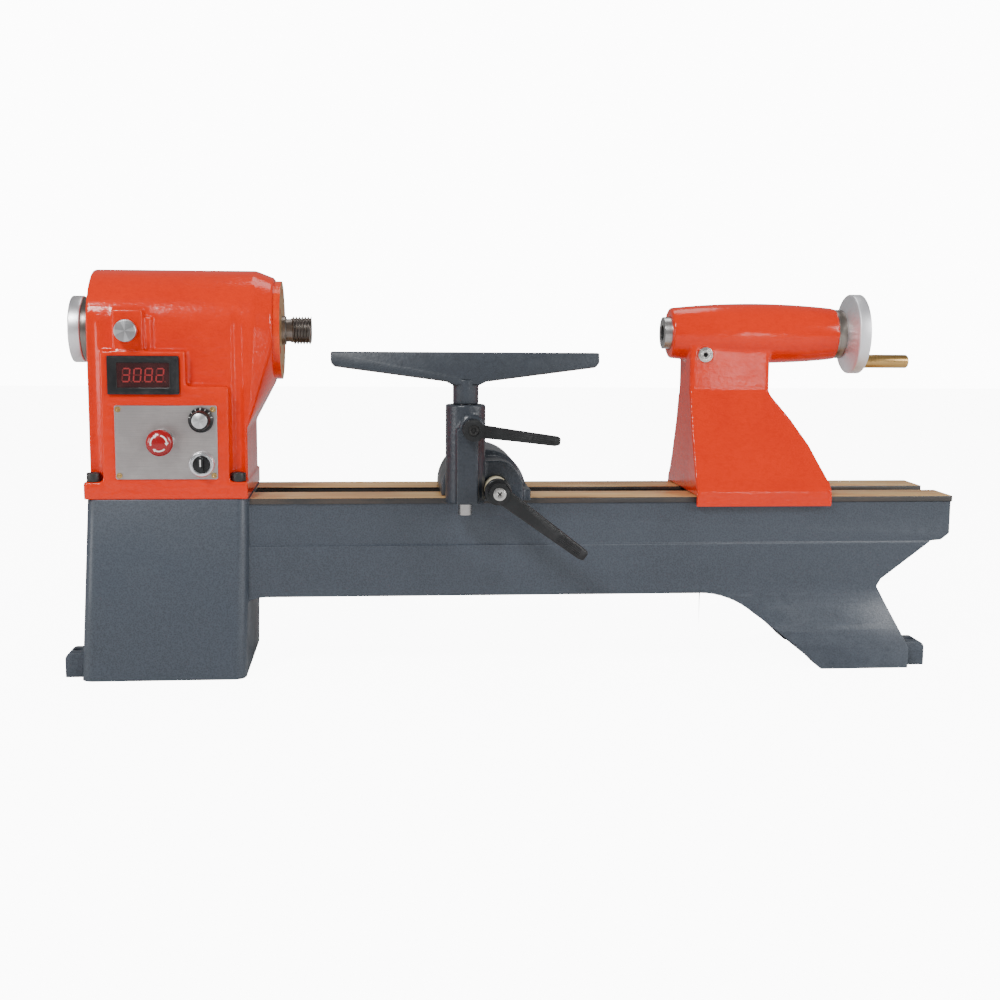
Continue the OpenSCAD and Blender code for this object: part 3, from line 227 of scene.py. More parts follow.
def buildEdge(tree, given):
    geometry = tree.nodes.new("ShaderNodeNewGeometry")
    settings = {"Value": geometry.outputs["Pointiness"], "From Min": given["Low"], "From Max": given["High"]}
    edge = place(tree, "ShaderNodeMapRange", settings).outputs["Result"]
    broken = noise(tree, Vector=given["Vector"], Scale=given["Breakup"], Detail=5.0, Roughness=0.7)
    return {"Mask": maths(tree, "MULTIPLY", edge, stretch(tree, broken, 0.35, 0.62))}


def buildTurned(tree, given):
    parts = place(tree, "ShaderNodeSeparateXYZ", {0: given["Vector"]})
    square = maths(tree, "ADD", maths(tree, "POWER", parts.outputs[1], 2.0),
                   maths(tree, "POWER", parts.outputs[2], 2.0))
    radius = maths(tree, "SQRT", square)
    ring, band = [
        noise(tree, "1D", W=maths(tree, "MULTIPLY", way, given["Density"]), Scale=1.0, Detail=4.0,
              Roughness=0.7)
        for way in (radius, parts.outputs[0])
    ]
    lines = maths(tree, "MULTIPLY", maths(tree, "ADD", ring, band), 0.5)
    return {"Lines": stretch(tree, lines, 0.3, 0.7)}


# painted reflection: bright lobes and streaks by angle around the axis stand in for the highlights on a spun
# face
def buildPaintedReflection(tree, given):
    parts = place(tree, "ShaderNodeSeparateXYZ", {0: given["Vector"]})
    angle = maths(tree, "ARCTAN2", parts.outputs[2], parts.outputs[1])
    lobes = maths(tree, "COSINE", maths(tree, "ADD", maths(tree, "MULTIPLY", angle, 4.0), given["Turn"]))
    streak = noise(tree, "1D", W=maths(tree, "MULTIPLY", angle, given["Density"]), Scale=1.0, Detail=3.0)
    broken = maths(tree, "MULTIPLY", streak, 1.1)
    return {"Mask": maths(tree, "MULTIPLY", stretch(tree, lobes, 0.1, 1.0), broken)}


def buildBrushed(tree, given):
    long = place(tree, "ShaderNodeMapping", {"Vector": given["Vector"], "Scale": (0.02, 1.0, 1.0)})
    streak = noise(tree, Vector=long.outputs[0], Scale=given["Density"], Detail=5.0, Roughness=0.75)
    return {"Lines": stretch(tree, streak, 0.25, 0.75)}


def buildScratch(tree, given):
    along = {"Vector": given["Vector"], "Rotation": (0.4, 0.7, 0.5), "Scale": (0.05, 1.0, 1.0)}
    slant = place(tree, "ShaderNodeMapping", along).outputs[0]
    streak = noise(tree, Vector=slant, Scale=given["Scale"], Detail=3.0)
    patch = noise(tree, Vector=given["Vector"], Scale=14.0)
    masks = (stretch(tree, streak, 0.66, 0.74), stretch(tree, patch, 0.48, 0.62))
    return {"Mask": maths(tree, "MULTIPLY", *masks)}


def buildGrain(tree, given):
    cells = {"Vector": given["Vector"], "Scale": given["Scale"], "Smoothness": 0.8}
    cell = place(tree, "ShaderNodeTexVoronoi", cells, feature="SMOOTH_F1").outputs[0]
    speck = noise(tree, Vector=given["Vector"], Scale=maths(tree, "MULTIPLY", given["Scale"], 2.3),
                  Detail=3.0)
    height = maths(tree, "ADD", maths(tree, "MULTIPLY", cell, 0.6), maths(tree, "MULTIPLY", speck, 0.4))
    return {"Height": height, "Mask": stretch(tree, height, 0.25, 0.6)}


groupTable = {
    "cloud": ("cloudMask", {"Scale": 8.0, "Low": 0.4, "High": 0.65}, ["Mask"], buildCloud),
    "peel": ("paintPeel", {"Scale": 250.0}, ["Height"], buildPeel),
    "edge": ("edgeRub", {"Low": 0.52, "High": 0.6, "Breakup": 60.0}, ["Mask"], buildEdge),
    "turned": ("turnedLines", {"Density": 2200.0}, ["Lines"], buildTurned),
    "paintedReflection": ("radialPaintedReflection", {"Turn": 0.0, "Density": 9.0}, ["Mask"], buildPaintedReflection),
    "brushed": ("brushedLines", {"Density": 1400.0}, ["Lines"], buildBrushed),
    "scratch": ("fineScratches", {"Scale": 500.0}, ["Mask"], buildScratch),
    "grain": ("castGrain", {"Scale": 500.0}, ["Height", "Mask"], buildGrain),
}
groups = {key: makeGroup(*row) for key, row in groupTable.items()}


def useGroup(tree, name, **values):
    return place(tree, "ShaderNodeGroup", values, node_tree=groups[name]).outputs


def startMaterial(name, **fixed):
    material = bpy.data.materials.new(name)
    material.use_nodes = True
    tree = material.node_tree
    shader = tree.nodes["Principled BSDF"]
    for label, value in fixed.items():
        shader.inputs[label.replace("_", " ")].default_value = value
    spot = tree.nodes.new("ShaderNodeTexCoord").outputs["Object"]
    return material, tree, shader, spot


def addBump(tree, shader, heights):
    normal = None
    for height, strength, distance in heights:
        bump = place(tree, "ShaderNodeBump", {"Height": height, "Strength": strength, "Distance": distance})
        if normal is not None:
            tree.links.new(normal, bump.inputs["Normal"])
        normal = bump.outputs["Normal"]
    feed(tree, shader.inputs["Normal"], normal)


print("shader groups made:", len(groups))


# ---- materials

def enamelPaint(name, look):
    material, tree, shader, spot = startMaterial(name, Coat_Weight=look["coat"],
                                                 Coat_Roughness=look["coatRoughness"],
                                                 Specular_IOR_Level=look.get("specular", 0.45))
    cloud = useGroup(tree, "cloud", Vector=spot, Scale=look["cloudScale"], Low=0.36, High=0.68)["Mask"]
    speck = useGroup(tree, "cloud", Vector=spot, Scale=look["cloudScale"] * 14, Low=0.42, High=0.72)["Mask"]
    edge = useGroup(tree, "edge", Vector=spot, Low=look["edge"][0], High=look["edge"][1],
                    Breakup=90.0)["Mask"]
    scratch = useGroup(tree, "scratch", Vector=spot, Scale=420.0)["Mask"]
    colour = mixColour(tree, cloud, look["colour"], look["second"])
    colour = tint(tree, speck, look["speck"], colour, look["deep"])
    colour = tint(tree, edge, look["rub"], colour, look["thin"])
    feed(tree, shader.inputs["Base Color"], colour)
    rough = addShare(tree, look["roughness"], cloud, look["roughSpread"])
    feed(tree, shader.inputs["Roughness"], addShare(tree, rough, scratch, 0.05))
    peel = useGroup(tree, "peel", Vector=spot, Scale=look["peelScale"])["Height"]
    grain = useGroup(tree, "grain", Vector=spot, Scale=look["grainScale"])["Height"]
    long = place(tree, "ShaderNodeMapping", {"Vector": spot, "Scale": (0.5, 1.0, 1.3)}).outputs[0]
    # slow ripples, left as the paint flowed
    wave = useGroup(tree, "peel", Vector=long, Scale=90.0)["Height"]
    addBump(tree, shader, [(wave, look.get("wave", 0.1), 0.0012), (peel, look["peel"], 0.0006),
                           (grain, look["grain"], 0.0003)])
    return material


orangeLook = {
    "colour": (0.78, 0.027, 0.0), "second": (0.72, 0.022, 0.0), "deep": (0.54, 0.014, 0.0),
    "thin": (0.90, 0.12, 0.008), "speck": 0.22, "rub": 0.45, "edge": (0.53, 0.62),
    "roughness": 0.13, "roughSpread": 0.06, "specular": 0.32, "coat": 0.08, "coatRoughness": 0.06,
    "wave": 0.5, "cloudScale": 11.0, "peelScale": 210.0, "peel": 0.35, "grainScale": 700.0, "grain": 0.08,
}
motorLook = {
    "colour": (0.03, 0.031, 0.034), "second": (0.045, 0.046, 0.05), "deep": (0.02, 0.02, 0.022),
    "thin": (0.1, 0.1, 0.1), "speck": 0.3, "rub": 0.3, "edge": (0.53, 0.62),
    "roughness": 0.4, "roughSpread": 0.15, "coat": 0.1, "coatRoughness": 0.3,
    "cloudScale": 15.0, "peelScale": 320.0, "peel": 0.2, "grainScale": 800.0, "grain": 0.2,
}
banjoLook = {
    "colour": (0.034, 0.041, 0.053), "second": (0.027, 0.033, 0.043), "deep": (0.014, 0.017, 0.022),
    "thin": (0.10, 0.12, 0.14), "speck": 0.45, "rub": 0.5, "edge": (0.52, 0.6),
    "roughness": 0.3, "roughSpread": 0.1, "coat": 0.08, "coatRoughness": 0.2,
    "cloudScale": 24.0, "peelScale": 190.0, "peel": 1.0, "grainScale": 420.0, "grain": 0.5,
}
coverLook = dict(banjoLook, peel=0.3, grain=0.3, peelScale=300.0, speck=0.3, roughness=0.4)
restLook = dict(banjoLook, peel=0.45, grain=0.4, peelScale=260.0, speck=0.35, roughness=0.4, coat=0.1)


def bedFinish(name, look):
    # paint below, bare iron on top of the ways, told apart by height
    material, tree, shader, spot = startMaterial(name, Coat_Weight=look["coat"],
                                                 Coat_Roughness=look["coatRoughness"])
    parts = place(tree, "ShaderNodeSeparateXYZ", {0: spot}).outputs
    ways = maths(tree, "MULTIPLY", maths(tree, "LESS_THAN", maths(tree, "ABSOLUTE", parts[1]),
                                         look["wayHalf"]),
                 maths(tree, "GREATER_THAN", parts[0], look["waysFrom"]))
    bare = maths(tree, "MULTIPLY", ways, maths(tree, "GREATER_THAN", parts[2], look["bareAbove"]))
    band = maths(tree, "MULTIPLY", ways, maths(tree, "GREATER_THAN", parts[2], look["bandAbove"]))
    cloud = useGroup(tree, "cloud", Vector=spot, Scale=look["cloudScale"], Low=0.35, High=0.68)["Mask"]
    grain = useGroup(tree, "grain", Vector=spot, Scale=look["grainScale"])
    edge = useGroup(tree, "edge", Vector=spot, Low=0.515, High=0.57, Breakup=70.0)["Mask"]
    paint = mixColour(tree, cloud, look["paint"], look["paintDark"])
    paint = tint(tree, grain["Mask"], look["fleck"], paint, look["paintLight"])
    paint = tint(tree, edge, 0.4, paint, look["paintEdge"])
    along = place(tree, "ShaderNodeMapping", {"Vector": spot, "Scale": (0.55, 2.2, 1.0)}).outputs[0]
    blotch = useGroup(tree, "cloud", Vector=along, Scale=17.0, Low=0.42, High=0.6)["Mask"]
    pale = useGroup(tree, "cloud", Vector=along, Scale=31.0, Low=0.52, High=0.66)["Mask"]
    lines = useGroup(tree, "brushed", Vector=spot, Density=900.0)["Lines"]
    # the way tops are coloured orange-tan, with warmer and paler blotches and darker brushed lines
    iron = mixColour(tree, blotch, look["iron"], look["ironWarm"])
    iron = tint(tree, pale, 0.6, iron, look["ironPale"])
    iron = tint(tree, lines, 0.18, iron, look["ironDark"])
    bandColour = mixColour(tree, blotch, look["band"], look["bandWarm"])
    colour = mixColour(tree, band, paint, bandColour)
    feed(tree, shader.inputs["Base Color"], mixColour(tree, bare, colour, iron))
    feed(tree, shader.inputs["Metallic"], maths(tree, "MULTIPLY", bare, look["metal"]))
    painted = addShare(tree, look["roughness"], cloud, 0.14)
    machined = addShare(tree, 0.3, lines, 0.14)
    gap = maths(tree, "MULTIPLY", maths(tree, "SUBTRACT", machined, painted), bare)
    feed(tree, shader.inputs["Roughness"], maths(tree, "ADD", painted, gap))
    quiet = maths(tree, "SUBTRACT", 1.0, band)
    peel = useGroup(tree, "peel", Vector=spot, Scale=look["peelScale"])["Height"]
    addBump(tree, shader, [
        (maths(tree, "MULTIPLY", peel, quiet), 0.4, 0.0006),
        (maths(tree, "MULTIPLY", grain["Height"], quiet), look["grain"], 0.0003),
        (maths(tree, "MULTIPLY", lines, bare), 0.15, 0.0002),
    ])
    return material


bedLook = {
    "paint": (0.036, 0.046, 0.062), "paintDark": (0.028, 0.036, 0.049), "paintLight": (0.075, 0.092, 0.118),
    "paintEdge": (0.12, 0.14, 0.17), "fleck": 0.5, "roughness": 0.4, "coat": 0.12, "coatRoughness": 0.2,
    "cloudScale": 9.0, "grainScale": 620.0, "grain": 0.3, "peelScale": 240.0,
    "iron": (0.74, 0.45, 0.17), "ironWarm": (0.62, 0.31, 0.10), "ironPale": (0.84, 0.60,
        0.30), "ironDark": (0.40, 0.25, 0.13),
    "band": (0.030, 0.028, 0.027), "bandWarm": (0.055, 0.042, 0.034), "metal": 0.1,
    "bareAbove": 0.20665, "bandAbove": 0.2001, "wayHalf": 0.0774, "waysFrom": -0.2968,
}


def turnedMetal(name, look):
    material, tree, shader, spot = startMaterial(name, Metallic=1.0, Anisotropic=look.get("aniso", 0.0))
    centred = place(tree, "ShaderNodeVectorMath", {0: spot, 1: look["centre"]},
                    operation="SUBTRACT").outputs[0]
    turn = {"X": (0, 0, 0), "Y": (0, 0, -math.pi / 2), "Z": (0, math.pi / 2, 0)}[look["axis"]]
    turned = place(tree, "ShaderNodeMapping", {"Vector": centred, "Rotation": turn}).outputs[0]
    lines = useGroup(tree, "turned", Vector=turned, Density=look["density"])["Lines"]
    cloud = useGroup(tree, "cloud", Vector=spot, Scale=look.get("cloudScale", 40.0), Low=0.4,
                     High=0.66)["Mask"]
    scratch = useGroup(tree, "scratch", Vector=spot, Scale=700.0)["Mask"]
    colour = tint(tree, cloud, look.get("blotch", 0.5), look["colour"], look["second"])
    colour = tint(tree, lines, look["lineShade"], colour, look["line"])
    # painted reflection: by angle around the axis the colour turns bright in four lobes and darker between
    # them
    if "paintedReflection" in look:
        paintedReflection = useGroup(tree, "paintedReflection", Vector=turned, Turn=look["paintedReflection"])["Mask"]
        colour = mixColour(tree, paintedReflection, look["paintedReflectionDark"], colour)
    feed(tree, shader.inputs["Base Color"], colour)
    rough = addShare(tree, look["roughness"], lines, look.get("lineRough", 0.12))
    feed(tree, shader.inputs["Roughness"], addShare(tree, rough, scratch, 0.15))
    addBump(tree, shader, [(lines, look["bump"], 0.00015)])
    return material


spindleHeight = 0.397
alloy = {"centre": (0, 0, spindleHeight), "axis": "X", "colour": (0.92, 0.92, 0.94),
         "second": (0.84, 0.84, 0.86), "line": (0.68, 0.68, 0.7),
         "lineShade": 0.35, "roughness": 0.3, "density": 2600.0, "bump": 0.25}
steelLook = dict(alloy, colour=(0.52, 0.51, 0.5), second=(0.42, 0.41, 0.4), line=(0.3, 0.29, 0.28),
                 roughness=0.22, density=1900.0)
darkSteelLook = dict(steelLook, colour=(0.27, 0.245, 0.225), second=(0.2, 0.17, 0.15),
                     line=(0.12, 0.1, 0.09), roughness=0.26, lineShade=0.5)
ringLook = dict(alloy, colour=(0.74, 0.44, 0.20), second=(0.85, 0.60, 0.34), line=(0.42, 0.24, 0.11),
                roughness=0.38, cloudScale=26.0, blotch=0.8, density=1300.0)
brassLook = dict(alloy, centre=(0, 0, 0.364), colour=(0.66, 0.42, 0.16), second=(0.55, 0.32, 0.11),
                 line=(0.38, 0.22, 0.07), roughness=0.22, density=2400.0)


def mouldedPlastic(name, look):
    material, tree, shader, spot = startMaterial(name, Coat_Weight=look.get("coat", 0.0),
                                                 Coat_Roughness=0.15,
                                                 Specular_IOR_Level=look.get("specular", 0.5))
    cloud = useGroup(tree, "cloud", Vector=spot, Scale=look.get("cloudScale", 45.0), Low=0.38,
                     High=0.68)["Mask"]
    scratch = useGroup(tree, "scratch", Vector=spot, Scale=520.0)["Mask"]
    edge = useGroup(tree, "edge", Vector=spot, Low=0.53, High=0.64, Breakup=160.0)["Mask"]
    colour = mixColour(tree, cloud, look["colour"], look["second"])
    colour = tint(tree, edge, look.get("rub", 0.35), colour, look["worn"])
    feed(tree, shader.inputs["Base Color"], colour)
    rough = addShare(tree, look["roughness"], cloud, 0.1)
    feed(tree, shader.inputs["Roughness"], addShare(tree, rough, scratch, 0.15))
    grain = useGroup(tree, "grain", Vector=spot, Scale=look.get("grainScale", 1100.0))["Height"]
    addBump(tree, shader, [(grain, look.get("grain", 0.15), 0.00015)])
    return material


blackPlasticLook = {
    "colour": (0.009, 0.0095, 0.0105), "second": (0.013, 0.014, 0.015), "worn": (0.05, 0.05, 0.053),
    "roughness": 0.3, "grain": 0.3, "specular": 0.4,
}
redPlasticLook = {
    "colour": (0.34, 0.0015, 0.004), "second": (0.28, 0.001, 0.003), "worn": (0.6, 0.03, 0.03),
    "roughness": 0.2, "coat": 0.3, "grain": 0.05,
}
creamLook = {
    "colour": (0.72, 0.66, 0.47), "second": (0.62, 0.55, 0.37), "worn": (0.8, 0.76, 0.62),
    "roughness": 0.3, "coat": 0.2,
}
whiteLook = {
    "colour": (0.82, 0.82, 0.8), "second": (0.74, 0.74, 0.72), "worn": (0.9, 0.9, 0.9),
    "roughness": 0.35,
}
rubberLook = {
    "colour": (0.014, 0.014, 0.014), "second": (0.022, 0.022, 0.022), "worn": (0.06, 0.06, 0.06),
    "roughness": 0.7, "grain": 0.5,
}
boardLook = {
    "colour": (0.01, 0.09, 0.03), "second": (0.008, 0.07, 0.025), "worn": (0.05, 0.2, 0.08),
    "roughness": 0.45,
}
oxideLook = {
    "colour": (0.011, 0.011, 0.012), "second": (0.02, 0.019, 0.018), "worn": (0.12, 0.11, 0.10),
    "roughness": 0.36, "rub": 0.5, "grain": 0.4,
}


def brushedPanel(name, look):
    material, tree, shader, spot = startMaterial(name, Metallic=1.0, Anisotropic=0.5)
    lines = useGroup(tree, "brushed", Vector=spot, Density=look["density"])["Lines"]
    cloud = useGroup(tree, "cloud", Vector=spot, Scale=26.0, Low=0.35, High=0.7)["Mask"]
    scratch = useGroup(tree, "scratch", Vector=spot, Scale=600.0)["Mask"]
    colour = mixColour(tree, cloud, look["colour"], look["second"])
    colour = tint(tree, lines, 0.4, colour, look["line"])
    feed(tree, shader.inputs["Base Color"], colour)
    rough = addShare(tree, look["roughness"], lines, 0.15)
    feed(tree, shader.inputs["Roughness"], addShare(tree, rough, scratch, 0.12))
    addBump(tree, shader, [(lines, 0.25, 0.00012)])
    return material


def displayWindow(name, look):
    material, tree, shader, spot = startMaterial(name, Coat_Weight=0.6, Coat_Roughness=0.05)
    cloud = useGroup(tree, "cloud", Vector=spot, Scale=60.0, Low=0.35, High=0.7)["Mask"]
    feed(tree, shader.inputs["Base Color"], mixColour(tree, cloud, look["colour"], look["second"]))
    feed(tree, shader.inputs["Roughness"], stretch(tree, cloud, 0.0, 1.0, 0.12, 0.2))
    return material


def glowingSegment(name, look):
    material, tree, shader, spot = startMaterial(name, Emission_Strength=1.0)
    cloud = useGroup(tree, "cloud", Vector=spot, Scale=300.0, Low=0.3, High=0.7)["Mask"]
    feed(tree, shader.inputs["Base Color"], mixColour(tree, cloud, look["colour"],
                                                      tuple(c * 0.8 for c in look["colour"])))
    feed(tree, shader.inputs["Emission Color"], mixColour(tree, cloud, look["glow"],
                                                          tuple(c * 0.75 for c in look["glow"])))
    feed(tree, shader.inputs["Roughness"], stretch(tree, cloud, 0.0, 1.0, 0.3, 0.45))
    return material


materialTable = {
    "orangePaint": (enamelPaint, orangeLook),
    "motorPaint": (enamelPaint, motorLook),
    "banjoPaint": (enamelPaint, banjoLook),
    "coverPaint": (enamelPaint, coverLook),
    "restPaint": (enamelPaint, restLook),
    "bedIron": (bedFinish, bedLook),
    "alloySpindle": (turnedMetal, alloy),
    "alloyWheel": (turnedMetal, dict(
        alloy, roughness=0.42, lineShade=0.2, bump=0.12, colour=(0.95, 0.95, 0.98),
        second=(0.9, 0.9, 0.93)
    )),
    "alloyIndex": (turnedMetal, dict(
        alloy, centre=(-0.4277, 0, spindleHeight), axis="Y", density=3200.0, paintedReflection=0.6,
        paintedReflectionDark=(0.42, 0.42, 0.43)
    )),
    "alloyCap": (turnedMetal, dict(
        alloy, centre=(-0.3485, 0, 0.2975), axis="Y", density=3200.0, paintedReflection=1.4,
        paintedReflectionDark=(0.6, 0.6, 0.61)
    )),
    "alloyMotor": (turnedMetal, dict(alloy, centre=(0, 0, 0.11))),
    "steelSpindle": (turnedMetal, steelLook),
    "steelPost": (turnedMetal, dict(steelLook, centre=(-0.052, -0.115, 0), axis="Z")),
    "steelCam": (turnedMetal, dict(
        steelLook, centre=(-0.017, 0, 0.222), axis="Y", colour=(0.7, 0.69, 0.67)
    )),
    "steelTailCam": (turnedMetal, dict(steelLook, centre=(0.304, 0, 0.235), axis="Y")),
    "steelLock": (turnedMetal, dict(
        steelLook, centre=(0.2405, 0, 0.37195), axis="Y", colour=(0.74, 0.72, 0.69),
        second=(0.62, 0.59, 0.55)
    )),
    "steelBolt": (turnedMetal, dict(steelLook, axis="Z", centre=(-0.017, 0, 0))),
    "darkSpindle": (turnedMetal, darkSteelLook),
    "darkMotor": (turnedMetal, dict(darkSteelLook, centre=(0, 0, 0.11))),
    "collarSteel": (turnedMetal, dict(
        darkSteelLook, colour=(0.40, 0.36, 0.32), second=(0.27, 0.22, 0.18), lineShade=0.6,
        density=700.0
    )),
    "noseRing": (turnedMetal, ringLook),
    "brassCrank": (turnedMetal, brassLook),
    "brassPlain": (turnedMetal, dict(
        brassLook, axis="Y", centre=(-0.387, 0, 0.272), colour=(0.72, 0.5, 0.2)
    )),
    "chromeStop": (turnedMetal, dict(
        alloy, centre=(-0.3924, 0, 0.2733), axis="Y", roughness=0.12, colour=(0.75, 0.75, 0.76),
        lineShade=0.15
    )),
    "chromeSelector": (turnedMetal, dict(
        alloy, centre=(-0.3485, 0, 0.2475), axis="Y", roughness=0.2, colour=(0.86, 0.87, 0.9),
        second=(0.8, 0.81, 0.84), lineShade=0.12
    )),
    "panelSteel": (brushedPanel, {
        "colour": (0.50, 0.465, 0.46), "second": (0.60, 0.56, 0.55), "line": (0.32, 0.295, 0.29),
        "roughness": 0.34, "density": 1500.0
    }),
    "controllerAlloy": (brushedPanel, {
        "colour": (0.6, 0.6, 0.62), "second": (0.5, 0.5, 0.52), "line": (0.35, 0.35, 0.36),
        "roughness": 0.35, "density": 900.0
    }),
    "blackPlastic": (mouldedPlastic, blackPlasticLook),
    "redPlastic": (mouldedPlastic, redPlasticLook),
    "creamPlastic": (mouldedPlastic, creamLook),
    "whiteMark": (mouldedPlastic, whiteLook),
    "beltRubber": (mouldedPlastic, rubberLook),
    "boardGreen": (mouldedPlastic, boardLook),
    "blackOxide": (mouldedPlastic, oxideLook),
    "displayWindow": (displayWindow, {"colour": (0.030, 0.004, 0.005), "second": (0.045, 0.007, 0.008)}),
    "litSegment": (glowingSegment, {"colour": (0.25, 0.02, 0.02), "glow": (0.11, 0.006, 0.009)}),
    # the unlit segments glow faintly too: a painted glow, as they are not lit
    "dimSegment": (glowingSegment, {"colour": (0.09, 0.008, 0.008), "glow": (0.045, 0.003, 0.004)}),
}
materials = {name: build(name, look) for name, (build, look) in materialTable.items()}
print("materials made:", len(materials))


# ---- making and finishing pieces

def finishPiece(bm, name, material, body, node=None, slot=None, smoothAngle=38.0):
    # marks the sharp edges, keeps the piece inside its node's box, makes the object and puts it on its body
    limit = math.radians(smoothAngle)
    if node:
        low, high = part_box(node)
        for v in bm.verts:
            v.co = [min(max(v.co[i], low[i]), high[i]) for i in range(3)]
    for face in bm.faces:
        face.smooth = True
    for edge in bm.edges:
        edge.smooth = len(edge.link_faces) == 2 and edge.calc_face_angle(0.0) < limit
    mesh = bpy.data.meshes.new(name)
    bm.to_mesh(mesh)
    bm.free()
    for one in material if isinstance(material, list) else [material]:
        mesh.materials.append(materials[one])
    piece = bpy.data.objects.new(name, mesh)
    bpy.context.scene.collection.objects.link(piece)
    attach(piece, body)
    if node:
        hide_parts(node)
    slot = slot or (slotOfNode[node] if node else None)
    return piece


def copyNode(node):
    bm = bmesh.new()
    bm.from_mesh(nodes[node].data)
    bmesh.ops.remove_doubles(bm, verts=bm.verts, dist=3e-6)
    bmesh.ops.dissolve_limit(bm, angle_limit=math.radians(0.6), verts=bm.verts, edges=bm.edges)
    return bm


def bevelSharp(bm, width, segments=2, angle=32.0, clamp=False):
    limit = math.radians(angle)
    sharp = [e for e in bm.edges if len(e.link_faces) == 2 and e.calc_face_angle(0.0) > limit]
    sharp = [e for e in sharp if e.calc_length() > width * 0.8]
    bmesh.ops.bevel(bm, geom=sharp, offset=width, offset_type="OFFSET", segments=segments, profile=0.5,
                    affect="EDGES", material=-1, clamp_overlap=clamp)


taperMouth = 9.3 * mm


def paintBoreShade(bm, radius):
    # painted shade: inside the taper socket the faces get the black oxide material
    for face in bm.faces:
        middle = face.calc_center_median()
        away = math.hypot(middle.y, middle.z - spindleHeight)
        inward = -face.normal.y * middle.y - face.normal.z * (middle.z - spindleHeight)
        if away < radius and inward > 0.3 * away:
            face.material_index = 1


def bevelNode(node, material, width, segments=2, clamp=False, smoothAngle=38.0, boreRadius=0.0):
    bm = copyNode(node)
    bevelSharp(bm, width, segments, clamp=clamp)
    # painted shade inside the taper socket
    if boreRadius:
        paintBoreShade(bm, boreRadius)
        material = [material, "blackOxide"]
    return finishPiece(bm, node + "Finished", material, bodyOfNode[node], node, smoothAngle=smoothAngle)


def castNode(node, material, look):
    # a casting's soft edges: remeshed finely, then relaxed except where it is machined
    bm = copyNode(node)
    mesh = bpy.data.meshes.new(node + "Rough")
    bm.to_mesh(mesh)
    bm.free()
    rough = bpy.data.objects.new(node + "Rough", mesh)
    bpy.context.scene.collection.objects.link(rough)
    remesh = rough.modifiers.new("remesh", "REMESH")
    remesh.mode = "VOXEL"
    remesh.voxel_size = look["voxel"]
    remesh.adaptivity = 0.0
    even = rough.evaluated_get(bpy.context.evaluated_depsgraph_get())
    bm = bmesh.new()
    bm.from_mesh(even.to_mesh())
    even.to_mesh_clear()
    bpy.data.objects.remove(rough)
    bm.verts.ensure_lookup_table()

    def machined(spot):
        return any(all(low[i] <= spot[i] <= high[i] for i in range(3)) for low, high in look["keep"])

    soft = [v for v in bm.verts if not machined(v.co)]
    for i in range(look["relax"]):
        bmesh.ops.smooth_vert(bm, verts=soft, factor=0.5, use_axis_x=True, use_axis_y=True, use_axis_z=True)
    piece = finishPiece(bm, node + "Finished", material, bodyOfNode[node], node, smoothAngle=70.0)
    print("cast", node, len(piece.data.polygons), "faces")
    return piece


castings = {
    "headstock_housing": {"material": "orangePaint", "voxel": 0.002, "relax": 2, "keep": [
        ((-0.454, -0.09, 0.324), (-0.370, -0.05, 0.371)),
        ((-0.5, -0.1, 0.2), (-0.28, 0.1, 0.2085)),
        ((-0.273, -0.1, 0.33), (-0.25, 0.1, 0.5)),
    ]},
    "tailstock_body": {"material": "orangePaint", "voxel": 0.0018, "relax": 3, "keep": [
        ((0.2, -0.1, 0.19), (0.4, 0.1, 0.2085)),
        ((0.4035, -0.05, 0.35), (0.41, 0.05, 0.45)),
        ((0.2, -0.025, 0.372), (0.2035, 0.025, 0.422)),
    ]},
    "banjo_casting": {"material": "banjoPaint", "voxel": 0.0014, "relax": 5, "keep": [
        ((-0.1, -0.2, 0.2), (0.1, 0.1, 0.2085)),
    ]},
}
for node, look in castings.items():
    castNode(node, look["material"], look)
print("castings made")

bevelled = {
    "bed": ("bedIron", 1.2, 2),
    "mounting_bolts": ("blackOxide", 0.7, 2),
    "bearing_cap_screws": ("blackOxide", 0.3, 1),
    "display_bezel": ("blackPlastic", 0.9, 2),
    "control_panel": ("panelSteel", 0.35, 1),
    "panel_screws": ("brassPlain", 0.3, 1),
    "estop_body": ("chromeStop", 0.4, 2),
    "speed_pot": ("darkSpindle", 0.3, 1),
    "selector_switch": ("chromeSelector", 0.5, 2),
    "belt_cover": ("orangePaint", 0.8, 2),
    "cover_screws": ("blackOxide", 0.3, 1),
    "leg_cover": ("coverPaint", 0.8, 2),
    "power_inlet": ("blackPlastic", 0.5, 2),
    "index_bush": ("brassPlain", 0.4, 1),
    "spindle_handwheel": ("alloySpindle", 0.7, 2),
    "handwheel_ring": ("darkSpindle", 0.5, 2),
    "index_pin": ("alloyIndex", 0.5, 2),
    "selector_knob": ("blackPlastic", 0.6, 2),
    "banjo_clamp_plate": ("blackOxide", 1.2, 2),
    "banjo_clamp_bolt": ("steelBolt", 0.6, 1),
    "cam_bush": ("creamPlastic", 0.8, 2),
    "cam_shaft": ("steelCam", 0.5, 1),
    "banjo_lever_screw": ("steelCam", 0.4, 2),
    "rest_lock_stud": ("blackOxide", 0.4, 1),
    "rest_post": ("steelPost", 0.8, 2),
    "tool_rest": ("restPaint", 1.6, 3),
    "tail_collar": ("collarSteel", 0.6, 2),
    "tailstock_clamp_plate": ("blackOxide", 1.2, 2),
    "tailstock_clamp_bolt": ("steelBolt", 0.6, 1),
    "tailstock_cam_shaft": ("steelTailCam", 0.5, 1),
    "quill": ("steelSpindle", 0.5, 2),
    "tail_handwheel": ("alloyWheel", 0.5, 2),
    "crank_handle": ("brassCrank", 0.8, 2),
    "quill_lock_shaft": ("steelLock", 0.4, 2),
}
for node, (material, width, segments) in bevelled.items():
    bevelNode(node, material, width * mm, segments, boreRadius=taperMouth if node == "quill" else 0.0)
print("bevelled pieces made:", len(bevelled))


